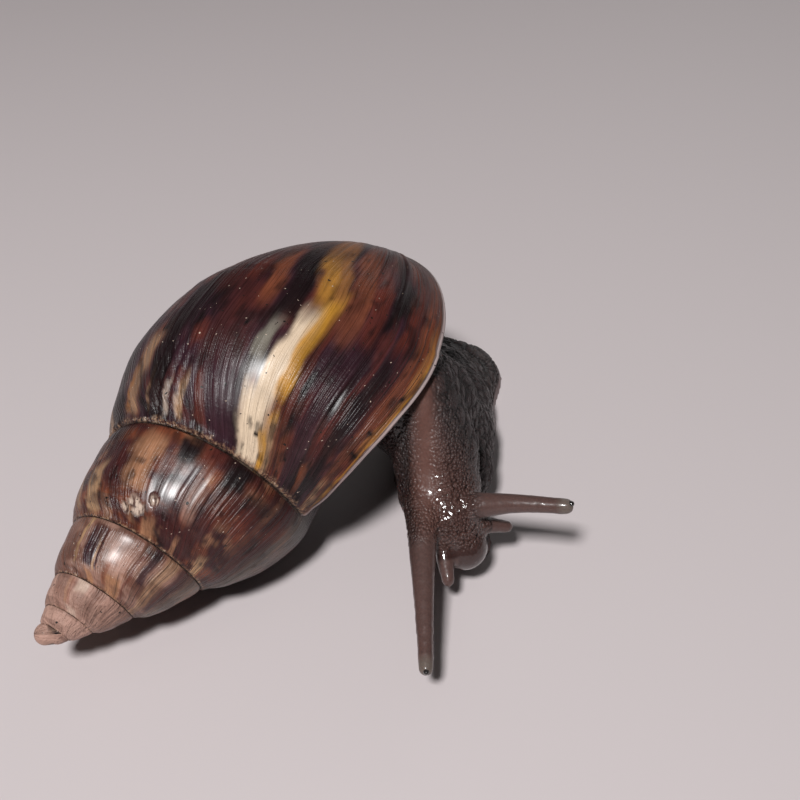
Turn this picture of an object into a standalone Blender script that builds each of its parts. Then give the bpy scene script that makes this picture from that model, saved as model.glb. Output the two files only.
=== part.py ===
"""Giant african land snail at rest: a still, life-size model.

Metres, +Z up.  The flat sole of the foot lies on z = 0 with its middle at the origin.
The head looks towards -Y and is turned a little to +X.  The shell lies on the floor on
the animal's right-hand side (-X), with its mouth over the neck, and the tail is curled
behind it.
"""
import math

import bmesh
import bpy
import numpy as np
from mathutils import Vector
from mathutils.bvhtree import BVHTree

for old in list(bpy.data.objects):
    bpy.data.objects.remove(old, do_unlink=True)

MM = 0.001
TAU = 2.0 * math.pi
GAP = 0.3                     # clear space between neighbouring pieces, mm

# ---------------------------------------------------------------- shell, driving sizes
SHELL_SCALE = 88.0            # mm, apex to the foremost rim of the base
WHORL_GROWTH = 1.824          # size ratio from one turn to the next
TURNS = 5                     # turns that are built; the apex dome stands for the rest
COLUMNS = 36                  # columns in one turn
LAG_COLUMNS = 3               # growth lines lag this many columns from suture to suture
SPIRE_TAPER = -0.15           # the spire is a little wider than the pure spiral
SUTURE_FILL = 0.10            # the sutures of the spire are shallower by this share
PROFILE = [                   # radius and height in units of SHELL_SCALE
    (0.166, 0.416),           # upper suture
    (0.226, 0.482),           # shoulder
    (0.286, 0.598),           # periphery
    None,                     # lower suture = upper suture one turn later
    (0.250, 0.840),           # flank of the last turn
    (0.100, 0.972),           # rim of the base
    (0.000, 0.960),           # foot of the columella, on the axis
]
BASE_HEIGHT = 0.947           # where every line of the base meets the axis
LAG = [0.0, -0.363, -LAG_COLUMNS * TAU / COLUMNS, -0.81, -2.08]   # radians at u 0..6
APEX = (-56.05, -55.2, 10.42)                      # mm
AXIS_TURN, AXIS_LIFT, AXIS_ROLL = 53.17, 10.97, 264.82            # degrees
DOME_RADIUS, DOME_RISE = 1.55, 0.50                # mm, blunt first turns of the spire
DOME_DIRECTION = (-0.905, -0.302, 0.302)
STEPS_SPIRE = 6               # rows from suture to suture
STEPS_BASE = 6                # rows from the lower suture to the axis
RIM = 1.0                     # thickness of the shell at its lip, mm
POCKET = 0.40                 # how far the mouth goes in, radians of the last turn

# ---------------------------------------------------------------- soft body, driving sizes
GRID = 1.8                    # mm, mesh size of the soft body
BLEND = 3.0                   # mm, how softly the masses run together
# centre line of the foot: x, y, half width
FOOT = [(2.8, -26.6, 4.7), (0.8, -21.0, 6.4), (-0.5, -11.0, 7.5),
        (0.7, 1.0, 8.6), (1.2, 15.0, 10.2), (-4.2, 20.0, 8.2),
        (-15.2, 24.0, 7.4), (-27.2, 28.0, 4.8), (-38.2, 31.0, 1.8)]
FOOT_RISE = 3.0               # thickness of the foot inside its margin
FLARE = 0.45                  # how much the margin spreads towards the floor
# back of the animal: x, y, z, radius
BACK = [(1.0, -18.0, 8.3, 6.7), (1.0, 1.0, 4.6, 7.7), (0.8, 11.5, 1.8, 6.6),
        (-4.7, 18.0, 1.6, 5.4), (-16.2, 23.5, 1.4, 4.4), (-27.2, 27.7, 1.0, 3.1),
        (-38.2, 31.0, 0.6, 1.3)]
STALK = [(-10.7, -16.0, 27.5, 8.6), (-3.9, -13.0, 17.0, 8.9), (-0.4, -9.0, 8.0, 8.0)]
NECK = [(-4.6, -20.0, 23.6, 6.5), (-2.0, -23.5, 17.6, 6.5), (-1.2, -28.0, 13.0, 6.1),
        (-0.2, -32.0, 10.9, 5.0), (2.4, -34.9, 8.3, 3.5)]
HEAD_CUT = -28.6              # y of the joint plane between neck and head
NECK_CUT = -15.0              # y of the joint plane between trunk and neck
FOOT_CUT = 2.8                # z of the joint plane above the foot
TAIL_POINT = (-6.7, 20.0)      # a point of the upright plane that starts the tail
TAIL_DIRECTION = (-0.92, 0.39)
# feelers: base, middle, tip, then the radius at each of them
FEELERS = {
    "tentacle_upper_right": [(-4.0, -37.0, 13.2, 2.15), (-3.9, -46.5, 11.2, 1.45),
                             (-3.7, -57.2, 8.2, 0.95)],
    "tentacle_upper_left": [(3.4, -32.6, 14.6, 1.95), (9.6, -34.4, 16.9, 1.35),
                            (16.8, -36.2, 18.1, 1.05)],
    "tentacle_lower_right": [(-0.6, -38.0, 9.0, 1.2), (-0.3, -39.6, 7.8, 0.95),
                             (-0.1, -40.8, 7.0, 0.8)],
    "tentacle_lower_left": [(5.6, -32.6, 10.6, 1.2), (7.4, -32.2, 10.0, 0.95),
                            (9.3, -31.8, 9.3, 0.8)],
}
ROOT_DEPTH = 5.0              # how far a feeler's root reaches into the head
ROOT_GAP = 0.75                # from the cut root to the feeler's own end, mm
EYE_RADIUS = 0.80
FEELER_SIDES, FEELER_RINGS = 12, 9


# ---------------------------------------------------------------- small helpers
def material(name, colour, roughness, metallic=0.0):
    mat = bpy.data.materials.new(name)
    mat.use_nodes = True
    shader = mat.node_tree.nodes["Principled BSDF"]
    shader.inputs["Base Color"].default_value = (*colour, 1.0)
    shader.inputs["Roughness"].default_value = roughness
    shader.inputs["Metallic"].default_value = metallic
    return mat


def add_object(name, bm, mat, smooth=True):
    bmesh.ops.remove_doubles(bm, verts=bm.verts, dist=0.02 * MM)
    bmesh.ops.dissolve_degenerate(bm, edges=bm.edges, dist=0.01 * MM)
    bmesh.ops.triangulate(bm, faces=bm.faces)
    bmesh.ops.recalc_face_normals(bm, faces=bm.faces)
    if bm.calc_volume(signed=True) < 0.0:
        bmesh.ops.reverse_faces(bm, faces=bm.faces)
    for face in bm.faces:
        face.smooth = smooth
    mesh = bpy.data.meshes.new(name)
    bm.to_mesh(mesh)
    bm.free()
    obj = bpy.data.objects.new(name, mesh)
    mesh.materials.append(mat)
    bpy.context.scene.collection.objects.link(obj)
    return obj


def spline(points, steps):
    """Catmull-Rom line through the points, with the ends carried on."""
    pts = np.array(points, float)
    ext = np.vstack([2 * pts[0] - pts[1], pts, 2 * pts[-1] - pts[-2]])
    out = []
    for i in range(len(pts) - 1):
        a, b, c, d = ext[i:i + 4]
        for t in np.arange(steps) / steps:
            out.append(0.5 * (2 * b + (c - a) * t + (2 * a - 5 * b + 4 * c - d) * t * t
                              + (3 * b - a - 3 * c + d) * t ** 3))
    out.append(pts[-1])
    return np.array(out)


# ---------------------------------------------------------------- shell surface
def axis_frame():
    turn, lift, roll = (math.radians(a) for a in (AXIS_TURN, AXIS_LIFT, AXIS_ROLL))
    axis = np.array([math.cos(turn) * math.cos(lift), math.sin(turn) * math.cos(lift),
                     math.sin(lift)])
    side = np.array([-math.sin(turn), math.cos(turn), 0.0])
    up = np.cross(axis, side)
    first = math.cos(roll) * up + math.sin(roll) * side
    return first, np.cross(axis, first), axis


FIRST, SECOND, AXIS = axis_frame()
profile = [list(p) if p else [WHORL_GROWTH * v for v in PROFILE[0]] for p in PROFILE]
PROFILE_LINE = spline(profile, 40)
LAG_LINE = spline([(1.5 * i, v) for i, v in enumerate(LAG)], 60)


def soft_step(t):
    t = min(max(t, 0.0), 1.0)
    return t * t * (3 - 2 * t)


def shell_point(theta, u):
    """Point of the outer surface; theta grows to the lip at 0, u runs suture to axis."""
    theta = theta + np.interp(u, LAG_LINE[:, 0], LAG_LINE[:, 1])
    size = WHORL_GROWTH ** (theta / TAU)
    grid = np.linspace(0, 6, len(PROFILE_LINE))
    r = np.interp(u, grid, PROFILE_LINE[:, 0]) * size
    z = np.interp(u, grid, PROFILE_LINE[:, 1]) * size
    r *= (max(z, 0.02) / 0.7) ** SPIRE_TAPER
    hollow = (1 + math.cos(math.pi * (u / 2 if u < 2 else u - 1))) / 2
    r *= 1 + SUTURE_FILL * hollow * (1 - soft_step((z - 0.15) / 0.40))
    if u > 3:
        z += (BASE_HEIGHT - z) * soft_step((u - 3) / 3)
    local = r * math.cos(theta) * FIRST + r * math.sin(theta) * SECOND + z * AXIS
    return np.array(APEX) + SHELL_SCALE * local


def mouth_loop(depth):
    """Closed line around the mouth: out along the lip, back along the parietal wall."""
    lip = [shell_point(-depth, u) for u in U_ROWS[:-1]]
    wall = [shell_point((LAG_COLUMNS / COLUMNS - 1) * TAU - depth, u)
            for u in U_ROWS[STEPS_SPIRE:-1]][::-1]
    pole = np.array(APEX) + SHELL_SCALE * BASE_HEIGHT * AXIS
    return lip + [pole] + wall[:-1]


def inset(loop, distance, most=0.33):
    """Draw a mouth-shaped ring in across its width, and its two corners in along it."""
    n_lip = STEPS_SPIRE + STEPS_BASE
    lip = loop[:n_lip + 1]
    wall = [loop[0]] + loop[n_lip + 1:][::-1] + [loop[n_lip]]
    ratio = (len(wall) - 1) / n_lip

    def across(k):
        """Points of the lip and of the wall at row k, counted along the lip."""
        m = min(int(k * ratio), len(wall) - 2)
        j = min(int(k), n_lip - 1)
        return (lip[j] + (lip[j + 1] - lip[j]) * (k - j),
                wall[m] + (wall[m + 1] - wall[m]) * (k * ratio - m))

    def corner(k, step):
        """Walk in from a corner by the distance, along the middle of the mouth."""
        left, here = distance * 1.5, across(k)[0]
        while True:
            a, b = across(k + step)
            new = (a + b) / 2
            size = np.linalg.norm(new - here)
            if size >= left:
                return k + step * left / size
            left, here, k = left - size, new, k + step

    first, last = corner(0.0, 0.5), corner(float(n_lip), -0.5)
    place = lambda k: first + (last - first) * k / n_lip
    out = []
    for j in range(n_lip + 1):
        a, b = across(place(j))
        out.append(a + (b - a) * drawn(a, b, distance, most) if 0 < j < n_lip
                   else (a + b) / 2)
    for m in range(len(wall) - 2, 0, -1):
        a, b = across(place(m / ratio))
        out.append(b + (a - b) * drawn(a, b, distance, most))
    return out


def drawn(a, b, distance, most):
    return min(distance / max(np.linalg.norm(b - a), 1e-6), most)


U_ROWS = list(np.linspace(0, 3, STEPS_SPIRE + 1)) + \
    list(np.linspace(3, 6, STEPS_BASE + 1))[1:]


def cap(bm, ring, flip):
    """Close a mouth-shaped ring with strips from its lip side to its wall side."""
    n_lip = STEPS_SPIRE + STEPS_BASE
    outer = ring[:n_lip + 1]
    inner = [ring[0]] + ring[n_lip + 1:][::-1] + [ring[n_lip]]
    j = 0
    for m in range(len(inner) - 1):
        stop = round((m + 1) * n_lip / (len(inner) - 1))
        while j < stop:
            face = [outer[j], outer[j + 1], inner[m]]
            if len(set(face)) == 3:
                bm.faces.new(face[::-1] if flip else face)
            j += 1
        face = [outer[j], inner[m + 1], inner[m]]
        if len(set(face)) == 3:
            bm.faces.new(face[::-1] if flip else face)


def shell_mesh(with_pocket):
    bm = bmesh.new()
    last = TURNS * COLUMNS
    first_full = last - COLUMNS + LAG_COLUMNS
    n_all = STEPS_SPIRE + STEPS_BASE
    new = lambda p: bm.verts.new(Vector(p) * MM)
    rows = {}
    pole = new(np.array(APEX) + SHELL_SCALE * BASE_HEIGHT * AXIS)
    for i in range(last, -1, -1):
        theta = (i - last) / COLUMNS * TAU
        row = [new(shell_point(theta, u)) for u in U_ROWS[:STEPS_SPIRE]]
        if i <= first_full:
            row.append(rows[i + COLUMNS - LAG_COLUMNS][0])
        if i >= first_full:
            start = STEPS_SPIRE + 1 if i == first_full else STEPS_SPIRE
            row += [new(shell_point(theta, u)) for u in U_ROWS[start:n_all]] + [pole]
        rows[i] = row
    for i in range(last):
        a, b = rows[i], rows[i + 1]
        for j in range(min(len(a), len(b)) - 1):
            quad = [a[j], b[j], b[j + 1], a[j + 1]]
            unique = []
            for v in quad:
                if v not in unique:
                    unique.append(v)
            bm.faces.new(unique)
    loop = [rows[i][0] for i in range(COLUMNS - LAG_COLUMNS + 1)] + rows[0][1:-1][::-1]
    edge = np.array([v.co for v in loop]) / MM
    out = np.array(DOME_DIRECTION)
    centre = edge.mean(0) + DOME_RISE * out
    around = edge - centre - ((edge - centre) @ out)[:, None] * out
    around /= np.linalg.norm(around, axis=1)[:, None]
    for angle in (math.radians(95), math.radians(50)):
        ring = [new(centre + DOME_RADIUS * (math.cos(angle) * out + math.sin(angle) * d))
                for d in around]
        for i in range(len(loop)):
            k = (i + 1) % len(loop)
            bm.faces.new([loop[i], ring[i], ring[k], loop[k]])
        loop = ring
    tip = new(centre + DOME_RADIUS * out)
    for i, v in enumerate(loop):
        bm.faces.new([loop[(i + 1) % len(loop)], v, tip])
    rim = rows[last] + rows[first_full][STEPS_SPIRE + 1:-1][::-1]
    if with_pocket:
        edge = [np.array(v.co) / MM for v in rim]
        rings = [inset(edge, RIM), inset(mouth_loop(POCKET), 1.6 * RIM)]
        for ring in rings:
            nxt = [new(p) for p in ring]
            for i in range(len(rim)):
                k = (i + 1) % len(rim)
                bm.faces.new([rim[i], nxt[i], nxt[k], rim[k]])
            rim = nxt
    cap(bm, rim, True)
    bmesh.ops.triangulate(bm, faces=bm.faces)
    bmesh.ops.recalc_face_normals(bm, faces=bm.faces)
    return bm


def floor_cut(bm):
    """Small flat where the shell lies on the floor."""
    geom = list(bm.verts) + list(bm.edges) + list(bm.faces)
    bmesh.ops.bisect_plane(bm, geom=geom, dist=1e-7, plane_co=(0, 0, 0),
                           plane_no=(0, 0, -1), clear_outer=True)
    edges = [e for e in bm.edges if e.is_boundary]
    if edges:
        bmesh.ops.triangle_fill(bm, use_beauty=True, edges=edges)


def mantle_mesh():
    """Plug of soft tissue that fills the mouth behind the lip."""
    bm = bmesh.new()
    back = inset(mouth_loop(POCKET - 0.10), 1.6 * RIM + 3.0 * GAP, 0.42)
    front = inset(mouth_loop(0.03), RIM + 2.5 * GAP, 0.42)
    rings = [[bm.verts.new(Vector(p) * MM) for p in ring] for ring in (front, back)]
    for i in range(len(front)):
        k = (i + 1) % len(front)
        bm.faces.new([rings[0][i], rings[1][i], rings[1][k], rings[0][k]])
    cap(bm, rings[0], False)
    cap(bm, rings[1], True)
    return bm


# ---------------------------------------------------------------- soft body as a field
def chain_field(points, table):
    """Distance to a chain of balls of changing radius."""
    best = None
    for (ax, ay, az, ar), (bx, by, bz, br) in zip(table[:-1], table[1:]):
        a, b = np.array([ax, ay, az]), np.array([bx, by, bz])
        t = np.clip((points - a) @ (b - a) / ((b - a) @ (b - a)), 0, 1)
        near = a + t[..., None] * (b - a)
        d = np.linalg.norm(points - near, axis=-1) - (ar + t * (br - ar))
        best = d if best is None else soft_min(best, d, 1.0)
    return best


def soft_min(a, b, k):
    h = np.clip(0.5 + 0.5 * (b - a) / k, 0, 1)
    return b + (a - b) * h - k * h * (1 - h)


def foot_field(points):
    flat = points[..., :2]
    best = None
    for (ax, ay, ar), (bx, by, br) in zip(FOOT[:-1], FOOT[1:]):
        a, b = np.array([ax, ay]), np.array([bx, by])
        t = np.clip((flat - a) @ (b - a) / ((b - a) @ (b - a)), 0, 1)
        near = a + t[..., None] * (b - a)
        d = np.linalg.norm(flat - near, axis=-1) - (ar + t * (br - ar))
        best = d if best is None else soft_min(best, d, 2.0)
    side = best + FLARE * points[..., 2]
    top = points[..., 2] - FOOT_RISE
    return -soft_min(-side, -top, 1.5)


def body_field(points):
    f = soft_min(foot_field(points), chain_field(points, BACK), BLEND)
    f = soft_min(f, chain_field(points, STALK), BLEND)
    f = soft_min(f, chain_field(points, NECK), BLEND)
    for table in FEELERS.values():
        base, mid = np.array(table[0]), np.array(table[1])
        d = (mid - base)[:3]
        d = d / np.linalg.norm(d)
        root = [tuple(base[:3] - d * ROOT_DEPTH) + (base[3] * 1.3,), tuple(base)]
        f = soft_min(f, np.maximum(chain_field(points, root), (points - base[:3]) @ d),
                     0.8)
    return f


def settle(values):
    """Turn over the weakest corner wherever a grid face is inside at two far corners."""
    values = values.copy()
    for _ in range(20):
        changed = 0
        for a, b in ((0, 1), (1, 2), (0, 2)):
            cut_at = []
            for da, db in ((0, 0), (1, 1), (0, 1), (1, 0)):
                where = [slice(None)] * 3
                where[a] = slice(1, None) if da else slice(0, -1)
                where[b] = slice(1, None) if db else slice(0, -1)
                cut_at.append(values[tuple(where)])
            inside = [v < 0 for v in cut_at]
            clash = (inside[0] == inside[1]) & (inside[2] == inside[3]) & \
                (inside[0] != inside[2])
            for cell in np.argwhere(clash):
                corners = []
                for da, db in ((0, 0), (1, 1), (0, 1), (1, 0)):
                    q = list(cell)
                    q[a] += da
                    q[b] += db
                    corners.append(tuple(q))
                weakest = min(corners, key=lambda q: abs(values[q]))
                values[weakest] = -math.copysign(0.1 * GRID, values[weakest])
                changed += 1
        if not changed:
            break
    return values


def surface_net(values, origin, step):
    """Closed mesh of the zero surface of a sampled field."""
    inside = values < 0
    nx, ny, nz = values.shape
    total = np.zeros((nx - 1, ny - 1, nz - 1, 3))
    count = np.zeros((nx - 1, ny - 1, nz - 1))
    corner = np.stack(np.meshgrid(np.arange(nx), np.arange(ny), np.arange(nz),
                                  indexing="ij"), -1).astype(float)
    crossings = []
    for axis in range(3):
        lo = [slice(None)] * 3
        hi = [slice(None)] * 3
        lo[axis], hi[axis] = slice(0, -1), slice(1, None)
        lo, hi = tuple(lo), tuple(hi)
        change = inside[lo] != inside[hi]
        t = np.where(change, values[lo] / np.where(change, values[lo] - values[hi], 1), 0)
        pos = corner[lo].copy()
        pos[..., axis] += t
        others = [a for a in range(3) if a != axis]
        for da in (0, 1):
            for db in (0, 1):
                src = [slice(None)] * 3
                dst = [slice(None)] * 3
                for a, d in zip(others, (da, db)):
                    size = values.shape[a]
                    src[a] = slice(1, size) if d else slice(0, size - 1)
                    dst[a] = slice(0, size - 1)
                take = change[tuple(src)]
                total[tuple(dst)] += np.where(take[..., None], pos[tuple(src)], 0)
                count[tuple(dst)] += take
        crossings.append((axis, change, inside[lo]))
    used = count > 0
    index = -np.ones(used.shape, int)
    index[used] = np.arange(used.sum())
    verts = total[used] / count[used][:, None] * step + origin
    faces = []
    for axis, change, low_inside in crossings:
        a, b = [(1, 2), (2, 0), (0, 1)][axis]
        for cell in np.argwhere(change):
            c = cell.copy()
            ring = []
            for da, db in ((1, 1), (0, 1), (0, 0), (1, 0)):
                q = c.copy()
                q[a] -= da
                q[b] -= db
                ring.append(index[tuple(q)])
            if min(ring) < 0:
                continue
            faces.append(ring if low_inside[tuple(cell)] else ring[::-1])
    return verts, faces


def outside_shell(points, tree):
    """Distance to the closed shell, negative inside it."""
    out = np.full(len(points), 99.0)
    ray = Vector((0.31, 0.17, 0.93)).normalized()
    for i, p in enumerate(points):
        v = Vector(p) * MM
        hit = tree.find_nearest(v, 6 * MM)
        crossings, start = 0, v.copy()
        for _ in range(20):
            loc, _n, _f, dist = tree.ray_cast(start, ray)
            if loc is None:
                break
            crossings += 1
            start = loc + ray * 1e-6
        near = hit[3] / MM if hit[0] is not None else 6.0
        out[i] = -near if crossings % 2 else near
    return out


def drawn_to_field(verts, faces, tree):
    """Move the skin onto the true outline; the sole stays flat on the floor."""
    sole = verts[:, 2] == 0.0
    rim = np.zeros(len(verts), bool)
    for face in faces:
        if sole[face].any() and not sole[face].all():
            rim[[i for i in face if sole[i]]] = True
    for _ in range(3):
        f = body_field(verts)
        slope = np.stack([(body_field(verts + 0.1 * d) - body_field(verts - 0.1 * d)) / 0.2
                          for d in np.eye(3)], -1)
        slope[sole, 2] = 0.0
        size = np.maximum((slope ** 2).sum(-1), 0.2)
        move = -(f / size)[:, None] * slope
        length = np.linalg.norm(move, axis=1)
        move *= np.minimum(1.0, 0.4 * GRID / np.maximum(length, 1e-9))[:, None]
        free = (rim & (np.abs(f) < 1.4 * GRID)) | (~sole & (np.abs(f) < 0.7 * GRID))
        free[free] = outside_shell(verts[free], tree) > GRID
        verts = verts + np.where(free[:, None], move, 0.0)
    verts[~sole, 2] = np.maximum(verts[~sole, 2], 0.25 * GRID)
    return verts


def body_mesh():
    """The whole soft body as one closed mesh, clear of the shell."""
    closed = shell_mesh(False)
    tree = BVHTree.FromBMesh(closed)
    closed.free()
    low, high = np.array([-44.7, -43.7, -0.5 * GRID]), np.array([18.8, 41.0, 40.0])
    n = np.ceil((high - low) / GRID).astype(int) + 1
    axes = [low[i] + GRID * np.arange(n[i]) for i in range(3)]
    grid = np.stack(np.meshgrid(*axes, indexing="ij"), -1)
    f = body_field(grid)
    near = f < 2.5 * GRID
    away = np.full(f.shape, 99.0)
    away[near] = outside_shell(grid[near], tree)
    f = np.maximum(f, 1.5 * GAP - away)
    f = np.maximum(f, -grid[..., 2])
    f = np.where(np.abs(f) < 0.1 * GRID, np.copysign(0.1 * GRID, f), f)
    verts, faces = surface_net(settle(f), low, GRID)
    verts[verts[:, 2] < 0.45 * GRID, 2] = 0.0
    verts = drawn_to_field(verts, faces, tree)
    bm = bmesh.new()
    made = [bm.verts.new(Vector(v) * MM) for v in verts]
    for face in faces:
        bm.faces.new([made[i] for i in face])
    bmesh.ops.triangulate(bm, faces=bm.faces)
    bmesh.ops.recalc_face_normals(bm, faces=bm.faces)
    mesh = bpy.data.meshes.new("body")
    bm.to_mesh(mesh)
    bm.free()
    return bpy.data.objects.new("body", mesh)


def box_cutter(name, low, high, turn=0.0, origin=(0.0, 0.0)):
    """Upright box from low to high, turned about the Z line through the origin."""
    bm = bmesh.new()
    bmesh.ops.create_cube(bm, size=1.0)
    for v in bm.verts:
        p = [lo + (c + 0.5) * (hi - lo) for lo, hi, c in zip(low, high, v.co)]
        x = origin[0] + p[0] * math.cos(turn) - p[1] * math.sin(turn)
        y = origin[1] + p[0] * math.sin(turn) + p[1] * math.cos(turn)
        v.co = Vector((x, y, p[2])) * MM
    mesh = bpy.data.meshes.new(name)
    bm.to_mesh(mesh)
    bm.free()
    cutter = bpy.data.objects.new(name, mesh)
    cutter.hide_render = True
    cutter.display_type = "WIRE"
    return cutter


def cut(obj, steps):
    """Mesh that is left after the (operation, cutter) steps with the exact solver."""
    scene = bpy.context.scene.collection
    scene.objects.link(obj)
    for operation, cutter in steps:
        scene.objects.link(cutter)
        modifier = obj.modifiers.new(cutter.name, "BOOLEAN")
        modifier.operation, modifier.solver, modifier.object = operation, "EXACT", cutter
    graph = bpy.context.evaluated_depsgraph_get()
    bm = bmesh.new()
    bm.from_mesh(obj.evaluated_get(graph).to_mesh())
    obj.evaluated_get(graph).to_mesh_clear()
    obj.modifiers.clear()
    scene.objects.unlink(obj)
    for _operation, cutter in steps:
        bpy.data.objects.remove(cutter, do_unlink=True)
    bmesh.ops.remove_doubles(bm, verts=bm.verts, dist=0.05 * MM)
    return keep_largest(bm)


def keep_largest(bm):
    """Drop loose crumbs so that the piece is one body."""
    left, groups = set(bm.verts), []
    while left:
        seed = left.pop()
        group, stack = {seed}, [seed]
        while stack:
            v = stack.pop()
            for e in v.link_edges:
                o = e.other_vert(v)
                if o in left:
                    left.remove(o)
                    group.add(o)
                    stack.append(o)
        groups.append(group)
    groups.sort(key=len)
    for group in groups[:-1]:
        bmesh.ops.delete(bm, geom=list(group), context="VERTS")
    return bm


# ---------------------------------------------------------------- feelers and eyes
def tube(centres, radii, sides):
    bm = bmesh.new()
    rings = []
    centres = [Vector(c) for c in centres]
    radii = [float(r) for r in radii]
    for i, (c, r) in enumerate(zip(centres, radii)):
        d = (centres[min(i + 1, len(centres) - 1)] - centres[max(i - 1, 0)]).normalized()
        if i == 0:
            d = (centres[1] - centres[0]).normalized()
        x = d.cross(Vector((0, 0, 1))).normalized()
        y = d.cross(x)
        rings.append([bm.verts.new((c + r * (math.cos(a) * x + math.sin(a) * y)) * MM)
                      for a in (TAU * k / sides for k in range(sides))])
    for a, b in zip(rings[:-1], rings[1:]):
        for k in range(sides):
            n = (k + 1) % sides
            bm.faces.new([a[k], b[k], b[n], a[n]])
    bm.faces.new(rings[0])
    bm.faces.new(rings[-1][::-1])
    return bm


def feeler(name, table):
    table = np.array(table)
    d = table[1, :3] - table[0, :3]
    table[0, :3] += d / np.linalg.norm(d) * ROOT_GAP
    line = spline(table, (FEELER_RINGS - 1) // 2)
    radii = list(line[:, 3])
    centres = [p[:3] for p in line]
    end = (centres[-1] - centres[-2]) / np.linalg.norm(centres[-1] - centres[-2])
    if "upper" in name:
        radii[-2] *= 1.06
        radii[-1] *= 1.12
        centres.append(centres[-1] + end * 0.55)
        radii.append(radii[-1] * 0.82)
        seat = centres[-1] + end * GAP
        eye = tube([seat, seat + end * 0.3, seat + end * 0.55, seat + end * 0.7],
                   [EYE_RADIUS * 0.85, EYE_RADIUS * 0.8, EYE_RADIUS * 0.55,
                    EYE_RADIUS * 0.25], 10)
        add_object(name.replace("tentacle_upper", "eye"), eye, EYE)
    else:
        centres.append(centres[-1] + end * 0.5)
        radii.append(radii[-1] * 0.6)
    add_object(name, tube(centres, radii, FEELER_SIDES), FEELER_SKIN)


# ---------------------------------------------------------------- colours
SHELL = material("shell_brown", (0.115, 0.055, 0.040), 0.28)
MANTLE = material("mantle_dark", (0.060, 0.050, 0.048), 0.35)
FOOT_SKIN = material("foot_grey_brown", (0.125, 0.100, 0.092), 0.40)
TAIL_SKIN = material("tail_grey_brown", (0.125, 0.100, 0.092), 0.40)
TRUNK_SKIN = material("trunk_dark_grey", (0.085, 0.072, 0.068), 0.38)
NECK_SKIN = material("neck_warm_brown", (0.135, 0.090, 0.075), 0.38)
HEAD_SKIN = material("head_warm_brown", (0.120, 0.085, 0.072), 0.38)
FEELER_SKIN = material("feeler_grey_brown", (0.150, 0.115, 0.103), 0.35)
EYE = material("eye_black", (0.010, 0.009, 0.009), 0.15)

# ---------------------------------------------------------------- build
shell = shell_mesh(True)
floor_cut(shell)
add_object("shell", shell, SHELL)
add_object("mantle", mantle_mesh(), MANTLE)

body = body_mesh()
FAR = 90.0                    # mm, well outside the animal
tail_turn = math.atan2(TAIL_DIRECTION[1], TAIL_DIRECTION[0])


def tail_box(start):
    return box_cutter("tail_box", (start, -FAR, -FAR), (FAR, FAR, FAR), tail_turn,
                      TAIL_POINT)


add_object("foot", cut(body, [
    ("INTERSECT", box_cutter("foot_slab", (-FAR, -FAR, -FAR), (FAR, FAR, FOOT_CUT))),
    ("DIFFERENCE", tail_box(0.0))]), FOOT_SKIN)
add_object("tail", cut(body, [("INTERSECT", tail_box(GAP))]), TAIL_SKIN)
add_object("trunk", cut(body, [
    ("INTERSECT", box_cutter("trunk_slab", (-FAR, NECK_CUT, FOOT_CUT + GAP), (FAR, FAR, FAR))),
    ("DIFFERENCE", tail_box(0.0))]), TRUNK_SKIN)
add_object("neck", cut(body, [("INTERSECT", box_cutter(
    "neck_slab", (-FAR, HEAD_CUT, FOOT_CUT + GAP), (FAR, NECK_CUT - GAP, FAR)))]),
    NECK_SKIN)
add_object("head", cut(body, [("INTERSECT", box_cutter(
    "head_slab", (-FAR, -FAR, FOOT_CUT + GAP), (FAR, HEAD_CUT - GAP, FAR)))]), HEAD_SKIN)
bpy.data.objects.remove(body, do_unlink=True)
for feeler_name, feeler_table in FEELERS.items():
    feeler(feeler_name, feeler_table)
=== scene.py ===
"""Giant african land snail, life size: the shell, the living skin, the eyes and the stage.

Every length in the tables below is in millimetres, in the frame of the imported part:
+Z up, the middle of the creeping sole at the origin, the head towards -Y.
"""

import math
from contextlib import contextmanager

import bmesh
import bpy
import numpy as np
from bpy.props import FloatProperty, FloatVectorProperty, PointerProperty
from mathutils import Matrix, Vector
from mathutils.bvhtree import BVHTree


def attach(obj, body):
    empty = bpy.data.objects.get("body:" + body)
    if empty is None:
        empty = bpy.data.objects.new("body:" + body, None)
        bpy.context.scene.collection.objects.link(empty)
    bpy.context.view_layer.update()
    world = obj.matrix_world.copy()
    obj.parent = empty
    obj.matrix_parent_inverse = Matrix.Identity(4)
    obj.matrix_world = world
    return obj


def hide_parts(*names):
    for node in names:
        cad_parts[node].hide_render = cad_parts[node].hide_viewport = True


bl_info = {
    "name": "Giant african land snail",
    "version": (1, 0, 0),
    "blender": (4, 5, 0),
    "location": "View3D > Sidebar > Snail",
    "description": "Builds a life-size land snail with its coiled shell and wet skin",
    "category": "Object",
}

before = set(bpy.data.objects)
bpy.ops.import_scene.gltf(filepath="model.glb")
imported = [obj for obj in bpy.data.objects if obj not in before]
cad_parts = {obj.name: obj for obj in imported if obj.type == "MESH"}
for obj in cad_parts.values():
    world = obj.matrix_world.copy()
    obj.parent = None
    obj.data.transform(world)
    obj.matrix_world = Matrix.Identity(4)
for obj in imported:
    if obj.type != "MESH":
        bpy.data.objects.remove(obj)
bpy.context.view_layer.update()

MM = 0.001
TAU = 2.0 * math.pi
UP = np.array([0.0, 0.0, 1.0])
FAR = 9.0                     # a distance further than any that matters

# the numbers that stir the cells of the noise
LOW_BITS = 0xFFFFFFFF
SEED_PRIME, SEED_SHIFT, STIR_PRIME = 974634777, 12345, 1274126177
AXIS_PRIMES = (374761393, 668265263, 2246822519)

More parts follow.
